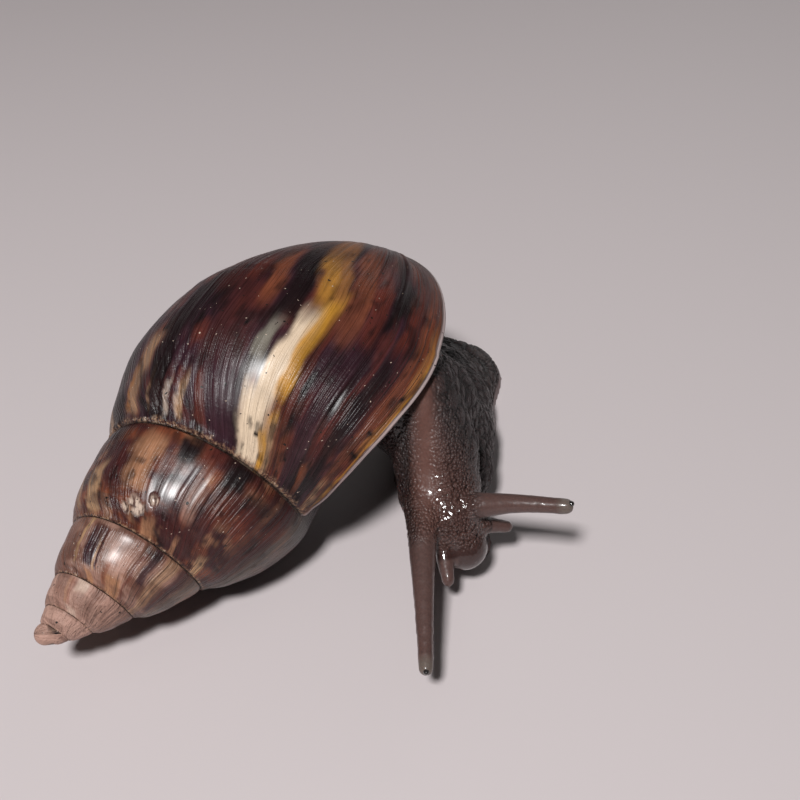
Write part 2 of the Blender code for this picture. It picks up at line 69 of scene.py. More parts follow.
# ---------------------------------------------------------------- the shell's spiral
SHELL_SCALE = 88.0
WHORL_GROWTH = 1.824          # how much the spiral grows in one turn
TURNS = 5
COLUMNS = 720                 # columns in one turn
ROWS_SPIRE, ROWS_BASE = 44, 34
LAG_PARTS = 12                # growth lines lag a twelfth of a turn from suture to suture
SPIRE_TAPER = -0.15           # a power that widens the whorls towards the apex
SUTURE_FILL = 0.10            # how much the hollows at the sutures are filled there
# outline of a whorl at u = 0 to 6: radius and height along the axis, over the scale; None
# stands for the first point one turn later
PROFILE = [(0.166, 0.416), (0.226, 0.482), (0.286, 0.598), None, (0.250, 0.840),
           (0.100, 0.972), (0.000, 0.960)]
BASE_HEIGHT = 0.947
# how far the growth lines lag at u = 0, 1.5, 3, 4.5 and 6, in radians
LAG = [0.0, -0.363, -TAU / LAG_PARTS, -0.81, -2.08]
APEX = np.array([-56.05, -55.2, 10.42])
AXIS_TURN, AXIS_LIFT, AXIS_ROLL = 53.17, 10.97, 264.82    # degrees
DOME_RADIUS, DOME_RISE = 1.55, 0.50    # the blunt first turns on top of the spire
DOME_DIRECTION = np.array([-0.905, -0.302, 0.302])
DOME_ANGLES = (86, 77, 68, 58, 47, 36, 24, 12)            # degrees from its top
WIDEST = 0.284                # radius of the whorls where they are widest, over the scale
CORNER_DRAW = 1.5             # corners of the mouth are drawn in this much further
# rings that round the lip over and line the mouth: radians behind the lip, how far they are
# drawn in over the lip's thickness, and their inner and rim masks
LIP_RINGS = [(-0.003, 0.35, 0.0, 1.0), (-0.001, 0.8, 0.3, 1.0), (0.006, 1.05, 0.7, 0.4),
             (0.03, 1.2, 1.0, 0.0), (0.08, 1.4, 1.0, 0.0), (0.16, 1.5, 1.0, 0.0),
             (0.26, 1.6, 1.0, 0.0), (0.38, 1.8, 1.0, 0.0)]
DENT_DEPTH, BEAD_HEIGHT, PIT_DEPTH = 0.30, 0.42, 0.35
SMALL_WHORL = 0.30            # on whorls smaller than this the pattern has fewer rows
LAY_ROW = 8.0                 # length of one unit of u in the painted coordinates, in mm
THREAD_DEPTH, PORE_DEPTH = 0.00065, 0.00020    # of the fine relief, in metres
FLECK_BROWN, SEAM_BROWN = (0.020, 0.012, 0.010), (0.016, 0.010, 0.009)
SOIL_BLACK = (0.010, 0.008, 0.007)
WORN_ROUGH = (0.55, 0.55, 0.55)
# patterns of noise on the shell: length along the growth in mm, rows in one unit of u,
# seed and octaves
GRAINS = {
    "bend": (9.0, 0.9, 3, 2), "ridge": (0.62, 0.22, 11, 2), "fold": (2.1, 0.3, 12, 2),
    "strength": (12.0, 0.6, 13, 1), "dent": (7.5, 1.6, 14, 2),
    "beads": (0.85, 0.3, 15, 2),
    "wander": (7.0, 1.5, 21, 3), "ragged": (1.2, 2.8, 22, 2), "fine": (0.70, 0.60, 23, 2),
    "streak": (1.9, 1.7, 24, 3), "pit": (0.8, 6.0, 26, 2), "scar": (2.6, 1.2, 27, 3),
    "patch": (2.2, 2.6, 29, 3), "grime": (1.4, 3.6, 30, 3), "crumbs": (0.45, 9.0, 31, 2),
}

# ---------------------------------------------------------------- the soft body's masses
BLEND = 3.0                   # width of the fillets between the masses
# x, y and half width along the foot
FOOT = [(2.8, -26.6, 4.7), (0.8, -21.0, 6.4), (-0.5, -11.0, 7.5),
        (0.7, 1.0, 8.6), (1.2, 15.0, 10.2), (-4.2, 20.0, 8.2),
        (-15.2, 24.0, 7.4), (-27.2, 28.0, 4.8), (-38.2, 31.0, 1.8)]
FOOT_RISE, FLARE = 3.0, 0.45  # its height, and how much its sides lean in
FOOT_BLEND, FOOT_SOFT, FEELER_BLEND, FEELER_SOFT = 0.01, 2.0, 0.8, 0.3
# chains of balls: x, y, z and radius
BACK = [(1.0, -18.0, 8.3, 6.7), (1.0, 1.0, 4.6, 7.7), (0.8, 11.5, 1.8, 6.6),
        (-4.7, 18.0, 1.6, 5.4), (-16.2, 23.5, 1.4, 4.4), (-27.2, 27.7, 1.0, 3.1),
        (-38.2, 31.0, 0.6, 1.3)]
STALK = [(-10.7, -16.0, 27.5, 8.6), (-3.9, -13.0, 17.0, 8.9), (-0.4, -9.0, 8.0, 8.0)]
NECK = [(-4.6, -20.0, 23.6, 6.5), (-2.0, -23.5, 17.6, 6.5), (-1.2, -28.0, 13.0, 6.1),
        (-0.2, -32.0, 10.9, 5.0), (2.4, -34.9, 8.3, 3.5)]
FEELERS = {
    "upper_right": [(-4.0, -37.0, 13.2, 2.15), (-3.9, -46.5, 11.2, 1.45),
                    (-3.7, -57.2, 8.2, 0.95)],
    "upper_left": [(3.4, -32.6, 14.6, 1.95), (9.6, -34.4, 16.9, 1.35),
                   (16.8, -36.2, 18.1, 1.05)],
    "lower_right": [(-0.6, -38.0, 9.0, 1.2), (-0.3, -39.6, 7.8, 0.95),
                    (-0.1, -40.8, 7.0, 0.8)],
    "lower_left": [(5.6, -32.6, 10.6, 1.2), (7.4, -32.2, 10.0, 0.95),
                   (9.3, -31.8, 9.3, 0.8)],
}
ROOT_DEPTH, ROOT_SWELLING = 5.0, 1.3
TIP_SWELLING = (1.05, 1.12)
FLESH_NODES = ("foot", "tail", "trunk", "neck", "head", "mantle",
               "tentacle_upper_right", "tentacle_upper_left",
               "tentacle_lower_right", "tentacle_lower_left")
# line through the middle of the animal from the tail's tip to the mouth, which the
# skin's grain follows
SPINE = [(-38.0, 31.0, 1.0), (-27.0, 28.0, 2.0), (-16.0, 23.5, 3.0), (-4.7, 17.5, 4.0),
         (0.8, 10.0, 5.0), (0.5, 0.0, 7.5), (-1.0, -10.0, 11.5), (-2.0, -19.0, 14.5),
         (-1.6, -27.0, 13.5), (-0.4, -33.0, 10.5), (1.6, -40.0, 7.0)]
# the smooth band of the neck: places along -y, and x there
BAND_LINE = [(18.0, 27.0, 32.0, 38.0), (-4.2, -3.5, -3.3, -2.6)]
# the thick collar that lines the mouth and the plug of flesh behind it: radians behind the
# lip, and how far the ring is drawn in
COLLAR_RINGS = [(0.085, 4.6), (0.055, 3.6), (0.026, 2.9), (0.012, 2.2), (0.016, 1.5),
                (0.045, 1.15), (0.28, 1.3)]
COLLAR_MOST = 0.42            # but no further than this part of the mouth's width
FIELD_LOW, FIELD_HIGH = (-41.0, -60.0), (20.0, 35.0, 35.0)    # z starts half a step down
FOOT_BOX = [(-41, -33, 0), (13, 34, 6)]
# slow distances are sampled on every second or fourth point of the grid, up to this reach
COLLAR_EVERY, SHELL_EVERY = 2, 4
REACH, LONG_REACH = 2.0, 6.0
RAY, RAY_STEP = (0.31, 0.17, 0.93), 1e-4      # for counting the walls on the way out
# the light copy of the shell that the body is cut with
CUT_COARSER, CUT_SPIRE, CUT_BASE = 5, 22, 17
POCKET_DEPTHS, POCKET_DRAW = (0.0, 0.10, 0.20, 0.32), 0.05625
BIG_HEIGHT, SMALL_HEIGHT = 0.27, 0.12          # of the tubercles
FOLD_HEIGHT, RING_HEIGHT = 0.10, 0.035         # of the neck's folds and the feelers' rings
FURROW_DEPTH, CREASE_DEPTH = 0.30, 0.22
FEELER_LIE = np.array([0.55, 0.75, 0.2])       # the rings of the feelers lie across this
SKIN_LIFT = 0.02              # the skin beside the sole keeps this far off the floor
PIMPLE_DEPTH, SPECKLE_DEPTH = 0.00050, 0.00004  # in metres
# each eye: its feeler and its radius
EYE_SEATS = {"eye_right": ("upper_right", 0.42), "eye_left": ("upper_left", 0.45)}
EYE_GREY, EYE_DEPTH = (0.03, 0.026, 0.024), 0.00001

# ---------------------------------------------------------------- the camera
CAMERA_TARGET = (-7.2, 9.0, 0.0)
CAMERA_LIFT = 40.05           # degrees above the floor
CAMERA_DISTANCE = 209.87
CAMERA_ANGLE = 38.53          # degrees across the frame
CAMERA_NEAR, CAMERA_FAR = 0.005, 10.0          # in metres
SKY = (1.0, 0.98, 0.96)
# lamps: size and place from the target, in metres
LAMPS = {"key": (0.09, (-0.125, -0.43, 0.62)), "fill": (0.70, (0.10, 0.10, 0.90)),
         "back": (0.50, (0.35, 0.80, 0.45))}


# ---------------------------------------------------------------- numbers and noise
def smooth(x, low=0.0, high=1.0):
    """0 below low, 1 above high, a soft step between them."""
    t = np.clip((np.asarray(x, float) - low) / (high - low), 0.0, 1.0)
    return t * t * (3.0 - 2.0 * t)


def unit(v):
    """The same direction with a length of one."""
    return v / np.linalg.norm(v)


def spline(points, steps):
    """Catmull-Rom line through the points with this many steps for each span."""
    p = np.array(points, float)
    p = np.vstack([2 * p[0] - p[1], p, 2 * p[-1] - p[-2]])
    out = []
    for k in range(1, len(p) - 2):
        a, b, c, d = p[k - 1], p[k], p[k + 1], p[k + 2]
        for t in np.linspace(0, 1, steps, endpoint=False):
            out.append(0.5 * (2 * b + (c - a) * t + (2 * a - 5 * b + 4 * c - d) * t ** 2
                              + (3 * b - 3 * c + d - a) * t ** 3))
    out.append(p[-2])
    return np.array(out)


def scatter(cell, seed):
    """A number from 0 to 1 for each whole-number cell."""
    low_bits = np.uint64(LOW_BITS)
    h = np.full(cell.shape[:-1], (seed * SEED_PRIME + SEED_SHIFT) & LOW_BITS, np.uint64)
    for axis, prime in zip(range(cell.shape[-1]), AXIS_PRIMES):
        whole = (cell[..., axis].astype(np.int64) & LOW_BITS).astype(np.uint64)
        h = (h + whole * np.uint64(prime)) & low_bits
        h = ((h ^ (h >> np.uint64(13))) * np.uint64(STIR_PRIME)) & low_bits
    h ^= h >> np.uint64(16)
    return h.astype(float) / (LOW_BITS + 1)


def noise(points, seed, octaves=1):
    """Smooth noise from 0 to 1 at points of one, two or three coordinates."""
    points = np.asarray(points, float)
    total, weight, size = 0.0, 0.0, 1.0
    for octave in range(octaves):
        p = points / size
        base = np.floor(p)
        t = p - base
        t = t * t * (3 - 2 * t)
        value = 0.0
        for corner in np.ndindex(*(2,) * points.shape[-1]):
            c = np.array(corner)
            value = value + scatter(base + c, seed + 31 * octave) \
                * np.prod(np.where(c == 1, t, 1 - t), axis=-1)
        total, weight, size = total + value * size, weight + size, size * 0.5
    return total / weight


def cells(points, seed):
    """Distance to the nearest and second nearest scattered centre, and its own number."""
    base = np.floor(points)
    first = np.full(len(points), FAR)
    second, number = first.copy(), np.zeros(len(points))
    for shift in np.ndindex(3, 3, 3):
        cell = base + np.array(shift) - 1
        centre = cell + np.stack([scatter(cell, seed + k) for k in range(3)], -1)
        d = np.linalg.norm(points - centre, axis=-1)
        closer = d < first
        second = np.where(closer, first, np.minimum(second, d))
        number = np.where(closer, scatter(cell, seed + 7), number)
        first = np.where(closer, d, first)
    return first, second, number


def stack(*parts):
    """Coordinates side by side, stretched to one shape."""
    return np.stack(np.broadcast_arrays(*parts), -1)


# ---------------------------------------------------------------- mesh helpers
def mesh_from(name, verts, faces):
    """A smooth-shaded mesh from points in millimetres and lists of corner numbers."""
    mesh = bpy.data.meshes.new(name)
    sizes = np.array([len(face) for face in faces], np.int32)
    corners = np.fromiter((i for face in faces for i in face), np.int32)
    mesh.vertices.add(len(verts))
    mesh.vertices.foreach_set("co", (np.asarray(verts, np.float32) * MM).ravel())
    mesh.loops.add(len(corners))
    mesh.loops.foreach_set("vertex_index", corners)
    mesh.polygons.add(len(sizes))
    mesh.polygons.foreach_set("loop_start", (np.cumsum(sizes) - sizes).astype(np.int32))
    mesh.update(calc_edges=True)
    mesh.validate()
    mesh.shade_smooth()
    return mesh


def place(name, mesh, mat, nodes):
    """Put the piece in the scene, in its body, in place of the plain nodes."""
    obj = bpy.data.objects.new(name, mesh)
    bpy.context.scene.collection.objects.link(obj)
    mesh.materials.clear()
    mesh.materials.append(mat)
    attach(obj, "root")
    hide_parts(*nodes)
    return obj


@contextmanager
def editing(mesh):
    """The mesh as an open bmesh, which is written back at the end."""
    bm = bmesh.new()
    bm.from_mesh(mesh)
    yield bm
    bm.to_mesh(mesh)
    bm.free()


def values_of(mesh, field):
    """Three numbers for each point: its place in metres, "co", or its "normal"."""
    values = np.zeros(len(mesh.vertices) * 3, np.float32)
    mesh.vertices.foreach_get(field, values)
    return values.reshape(-1, 3).astype(float)


def points_of(mesh):
    """Places of the mesh's points in millimetres."""
    return values_of(mesh, "co") / MM


def move_points(mesh, points):
    """Put the mesh's points at these places in millimetres."""
    mesh.vertices.foreach_set("co", (points * MM).astype(np.float32).ravel())
    mesh.update()


def between(a, b):
    """Quads between two rings with the same number of points."""
    n = len(a)
    return [[a[i], b[i], b[(i + 1) % n], a[(i + 1) % n]] for i in range(n)]


def fan(ring, tip):
    """Triangles from a ring to one point."""
    return [[ring[i], tip, ring[(i + 1) % len(ring)]] for i in range(len(ring))]


def paint(mesh, **masks):
    """Store masks and coordinates on the mesh's points for its material."""
    for name, values in masks.items():
        kind = "FLOAT_VECTOR" if values.ndim == 2 else "FLOAT"
        layer = mesh.attributes.new(name, kind, "POINT")
        layer.data.foreach_set("vector" if values.ndim == 2 else "value",
                               values.astype(np.float32).ravel())


# ---------------------------------------------------------------- material helpers
class Finish:
    """A material's node tree, built up by short calls."""

    def __init__(self, name):
        self.material = bpy.data.materials.new(name)
        self.material.use_nodes = True
        self.tree = self.material.node_tree
        self.shader = self.tree.nodes["Principled BSDF"]

    def add(self, kind, inputs=(), **settings):
        """A new node with these inputs and settings."""
        node = self.tree.nodes.new("ShaderNode" + kind)
        for key, value in settings.items():
            setattr(node, key, value)
        for key, value in dict(inputs).items():
            self.join(value, node.inputs[key])
        return node

    def join(self, value, socket):
        """Link another node's output to the socket, or set the socket's own value."""
        if isinstance(value, bpy.types.NodeSocket):
            self.tree.links.new(value, socket)
        else:
            socket.default_value = value

    def mask(self, name):
        """A number painted on the mesh."""
        return self.add("Attribute", attribute_name=name).outputs["Fac"]

    def vector(self, name):
        """Three numbers painted on the mesh: a colour or a place."""
        return self.add("Attribute", attribute_name=name).outputs["Vector"]

    def sum(self, kind, a, b, clamp=False):
        """One number made of two."""
        return self.add("Math", {0: a, 1: b}, operation=kind, use_clamp=clamp).outputs[0]

    def times(self, a, b):
        """The product of two numbers."""
        return self.sum("MULTIPLY", a, b)

    def stretch(self, vector, scale):
        """A place with each of its coordinates scaled."""
        return self.add("Mapping", {"Vector": vector, "Scale": scale}).outputs[0]

    def grain(self, vector, scale, detail=2.0, rough=0.5):
        """Noise from 0 to 1."""
        return self.add("TexNoise", {"Vector": vector, "Scale": scale, "Detail": detail,
                                     "Roughness": rough}).outputs["Fac"]

    def ramp(self, value, stops):
        """Colours or grey levels along a value: (place, colour) pairs."""
        node = self.add("ValToRGB", {"Fac": value})
        line = node.color_ramp
        while len(line.elements) < len(stops):
            line.elements.new(1.0)
        for element, (where, colour) in zip(line.elements, stops):
            element.position = where
            level = (colour,) * 3 if isinstance(colour, (int, float)) else colour
            element.color = (*level, 1.0)
        return node.outputs["Color"]

    def mix(self, factor, a, b, kind="MIX"):
        """Colour a with this factor of colour b."""
        node = self.add("Mix", data_type="RGBA", blend_type=kind)
        for value, socket in ((factor, node.inputs[0]), (a, node.inputs[6]),
                              (b, node.inputs[7])):
            if not isinstance(value, (bpy.types.NodeSocket, int, float)):
                value = (*value, 1.0)
            self.join(value, socket)
        return node.outputs[2]

    def cover(self, colour, name, other, share=1.0):
        """Lay another colour over the first where a painted mask says so."""
        return self.mix(self.times(self.mask(name), share), colour, other)

    def bump(self, height, distance, strength=1.0, under=None):
        """A normal tilted by a height, on top of the normal under it."""
        inputs = {"Height": height, "Distance": distance, "Strength": strength}
        if under is not None:
            inputs["Normal"] = under
        return self.add("Bump", inputs).outputs["Normal"]

    def set(self, **values):
        """Set or link inputs of the shader; _ stands for a space in their names."""
        for key, value in values.items():
            self.join(value, self.shader.inputs[key.replace("_", " ")])


# ---------------------------------------------------------------- shell surface
def axis_frame():
    """Two directions across the shell's axis, and the axis from apex to base."""
    turn, lift, roll = (math.radians(a) for a in (AXIS_TURN, AXIS_LIFT, AXIS_ROLL))
    axis = np.array([math.cos(turn) * math.cos(lift), math.sin(turn) * math.cos(lift),
                     math.sin(lift)])
    side = np.array([-math.sin(turn), math.cos(turn), 0.0])
    up = np.cross(axis, side)
    first = math.cos(roll) * up + math.sin(roll) * side
    return first, np.cross(axis, first), axis


FIRST, SECOND, AXIS = axis_frame()
PROFILE_LINE = spline([p or [WHORL_GROWTH * v for v in PROFILE[0]] for p in PROFILE], 40)
LAG_LINE = spline([(1.5 * i, v) for i, v in enumerate(LAG)], 60)
POLE = APEX + SHELL_SCALE * BASE_HEIGHT * AXIS


def shell_point(theta, u):
    """Points of the outer surface; theta grows to the lip at 0, u runs suture to axis."""
    theta, u = np.broadcast_arrays(np.asarray(theta, float), np.asarray(u, float))
    theta = theta + np.interp(u, LAG_LINE[:, 0], LAG_LINE[:, 1])
    size = WHORL_GROWTH ** (theta / TAU)
    grid = np.linspace(0, 6, len(PROFILE_LINE))
    r = np.interp(u, grid, PROFILE_LINE[:, 0]) * size
    z = np.interp(u, grid, PROFILE_LINE[:, 1]) * size
    r = r * (np.maximum(z, 0.02) / 0.7) ** SPIRE_TAPER
    hollow = (1 + np.cos(math.pi * np.where(u < 2, u / 2, u - 1))) / 2
    r = r * (1 + SUTURE_FILL * hollow * (1 - smooth(z, 0.15, 0.55)))
    z = z + (BASE_HEIGHT - z) * smooth(u, 3, 6)
    local = (r * np.cos(theta))[..., None] * FIRST \
        + (r * np.sin(theta))[..., None] * SECOND + z[..., None] * AXIS
    return APEX + SHELL_SCALE * local


def rows_of(rows_spire, rows_base):
    """The u of every row: 0 to 3 from suture to suture, 3 to 6 over the base."""
    return np.concatenate([np.linspace(0, 3, rows_spire + 1),
                           np.linspace(3, 6, rows_base + 1)[1:]])


def mouth_loop(depth, rows_spire=ROWS_SPIRE, rows_base=ROWS_BASE):
    """Closed line around the mouth: out along the lip, back along the parietal wall."""
    u = rows_of(rows_spire, rows_base)
    lip = list(shell_point(-depth, u[:-1]))
    wall = list(shell_point((1 / LAG_PARTS - 1) * TAU - depth,
                            u[rows_spire + 1:-1])[::-1])
    return lip + [POLE] + wall


def inset(loop, distance, most=0.33):
    """Draw a mouth-shaped ring in across its width, and its two corners in along it."""
    n_lip = ROWS_SPIRE + ROWS_BASE
    lip = loop[:n_lip + 1]
    wall = [loop[0]] + loop[n_lip + 1:][::-1] + [loop[n_lip]]
    ratio = (len(wall) - 1) / n_lip

    def across(k):
        """Points of the lip and of the wall at row k, counted along the lip."""
        m = min(int(k * ratio), len(wall) - 2)
        j = min(int(k), n_lip - 1)
        return (lip[j] + (lip[j + 1] - lip[j]) * (k - j),
                wall[m] + (wall[m + 1] - wall[m]) * (k * ratio - m))

    def corner(k, step):
        """Walk in from a corner along the middle of the mouth."""
        left, here = distance * CORNER_DRAW, across(k)[0]
        while True:
            a, b = across(k + step)
            new = (a + b) / 2
            size = np.linalg.norm(new - here)
            if size >= left:
                return k + step * left / size
            left, here, k = left - size, new, k + step

    def drawn(a, b):
        """The share of the width that the distance is, but not more than the most."""
        return min(distance / max(np.linalg.norm(b - a), 1e-6), most)

    first, last = corner(0.0, 0.5), corner(float(n_lip), -0.5)
    out = []
    for j in range(n_lip + 1):
        a, b = across(first + (last - first) * j / n_lip)
        out.append(a + (b - a) * drawn(a, b) if 0 < j < n_lip else (a + b) / 2)
    for m in range(len(wall) - 2, 0, -1):
        a, b = across(first + (last - first) * (m / ratio) / n_lip)
        out.append(b + (a - b) * drawn(a, b))
    return out


def cap(ring, flip):
    """Faces that close a mouth-shaped ring from its lip side to its wall side."""
    n_lip = ROWS_SPIRE + ROWS_BASE
    outer = ring[:n_lip + 1]
    inner = [ring[0]] + ring[n_lip + 1:][::-1] + [ring[n_lip]]
    faces, j = [], 0
    for m in range(len(inner) - 1):
        stop = round((m + 1) * n_lip / (len(inner) - 1))
        while j < stop:
            faces.append([outer[j], outer[j + 1], inner[m]])
            j += 1
        faces.append([outer[j], inner[m + 1], inner[m]])
    faces = [f for f in faces if len(set(f)) == 3]
    return [f[::-1] for f in faces] if flip else faces


def shell_grid(columns, rows_spire, rows_base):
    """Places (theta, u) and quads of the outer surface, its rim ring and apex loop.

    A row's last spire point is the first point of the row one turn later, so the
    whole surface is one sheet along the suture."""
    lag = columns // LAG_PARTS
    last = TURNS * columns
    full = last - columns + lag
    theta = (np.arange(last + 1) - last) / columns * TAU
    u = rows_of(rows_spire, rows_base)
    own = np.arange((last + 1) * rows_spire).reshape(last + 1, rows_spire)
    count = own.size
    below = np.zeros(last + 1, int)
    below[:full + 1] = own[columns - lag:, 0][:full + 1]
    base = np.zeros((last - full + 1, rows_base + 1), int)
    base[1:, :-1] = count + np.arange((last - full) * rows_base).reshape(-1, rows_base)
    count += (last - full) * rows_base
    base[0, 0] = below[full]
    base[0, 1:-1] = count + np.arange(rows_base - 1)
    count += rows_base - 1
    base[:, -1] = count
    below[full:] = base[:, 0]
    spire = np.hstack([own, below[:, None]])
    where = np.zeros((count + 1, 2))
    where[own] = stack(theta[:, None], u[None, :rows_spire])
    where[base[1:, :-1]] = stack(theta[full + 1:, None], u[None, rows_spire:-1])
    where[base[0, 1:-1]] = stack(theta[full], u[rows_spire + 1:-1])
    where[base[0, -1]] = (0.0, 6.0)
    quads = np.concatenate([
        stack(grid[:-1, :-1], grid[1:, :-1], grid[1:, 1:], grid[:-1, 1:]).reshape(-1, 4)
        for grid in (spire, base)])
    rim = list(spire[last]) + list(base[-1, 1:]) + list(base[0, 1:-1][::-1])
    loop = list(spire[:columns - lag + 1, 0]) + list(spire[0, 1:-1][::-1])
    return where, quads, [int(i) for i in rim], [int(i) for i in loop]


def dome_frame(edge):
    """Middle of the apex dome, and the directions of the loop's points around it."""
    centre = edge.mean(0) + DOME_RISE * DOME_DIRECTION
    around = edge - centre
    around = around - (around @ DOME_DIRECTION)[:, None] * DOME_DIRECTION
    return centre, around / np.linalg.norm(around, axis=1)[:, None]


def growth_length(theta):
    """Length along the widest part of the whorls, in mm, up to this point."""
    return WIDEST * SHELL_SCALE / math.log(WHORL_GROWTH) * TAU \
        * WHORL_GROWTH ** (theta / TAU)


def grain(name, g, across):
    """A named pattern of noise from 0 to 1 along the growth and across the whorl."""
    length, rows, seed, octaves = GRAINS[name]
    return noise(stack(g / length, across * rows), seed, octaves)


def shell_relief(theta, u, depth):
    """Height of the growth ridges, rest marks, dents and beads under the suture, mm."""
    size = WHORL_GROWTH ** (theta / TAU)
    g = growth_length(theta)
    line = g + 0.8 * (grain("bend", g, u) - 0.5) * size
    strong = 0.35 + 0.9 * smooth(grain("strength", g, u), 0.35, 0.75)
    ridges = 0.55 * (grain("ridge", line, u) - 0.5) + 1.1 * (grain("fold", line, u) - 0.5)
    relief = depth * ridges * strong * size ** 0.4
    relief = relief + DENT_DEPTH * (grain("dent", g, u) - 0.5) * size
    wavy = 1.6 * (noise(stack(u * 3.0, g / 30.0), 16, 2) - 0.5)
    for degrees, lean, last_u, cut in REST_MARKS:
        d = (np.degrees(theta) - degrees - lean * (u - 1.0) + wavy) * size ** 0.5 / 0.9
        relief = relief - cut * (np.exp(-d ** 2) - 0.6 * np.exp(-(d - 2.2) ** 2 / 2.5)) \
            * (1 - smooth(u, last_u - 0.3, last_u))
    # the relief fades out at the sutures and towards the foot of the axis
    inside = smooth(u, 0.0, 0.05) * (1 - smooth(u, 2.9, 3.0) * (u <= 3.0)) \
        * (1 - smooth(u, 5.3, 6.0))
    # each whorl leans on the one before with a thin, uneven, beaded edge
    edge = smooth(u, 0.0, 0.035) * (1 - smooth(u, 0.10, 0.30))
    beads = BEAD_HEIGHT * edge * (0.25 + grain("beads", line, u)) * size ** 0.7
    return relief * inside + beads


# the pauses in the shell's growth: degrees back from the lip, lean for each unit of u,
# the last u, depth in mm
REST_MARKS = [(-21.5, 0, 6, 0.18), (-92.5, 11, 1.9, 0.22), (-86.8, 10, 1.7, 0.26),
              (-82, 9, 1.5, 0.22), (-98.5, 12, 1.8, 0.16), (-75.5, 4, 2.2, 0.12),
              (-171, 0, 6, 0.12), (-262, 0, 6, 0.14), (-330, 0, 3, 0.08),
              (-448, 5, 2.6, 0.16), (-560, 0, 3, 0.1), (-781, 0, 3, 0.08),
              (-807, 3, 3, 0.08)]

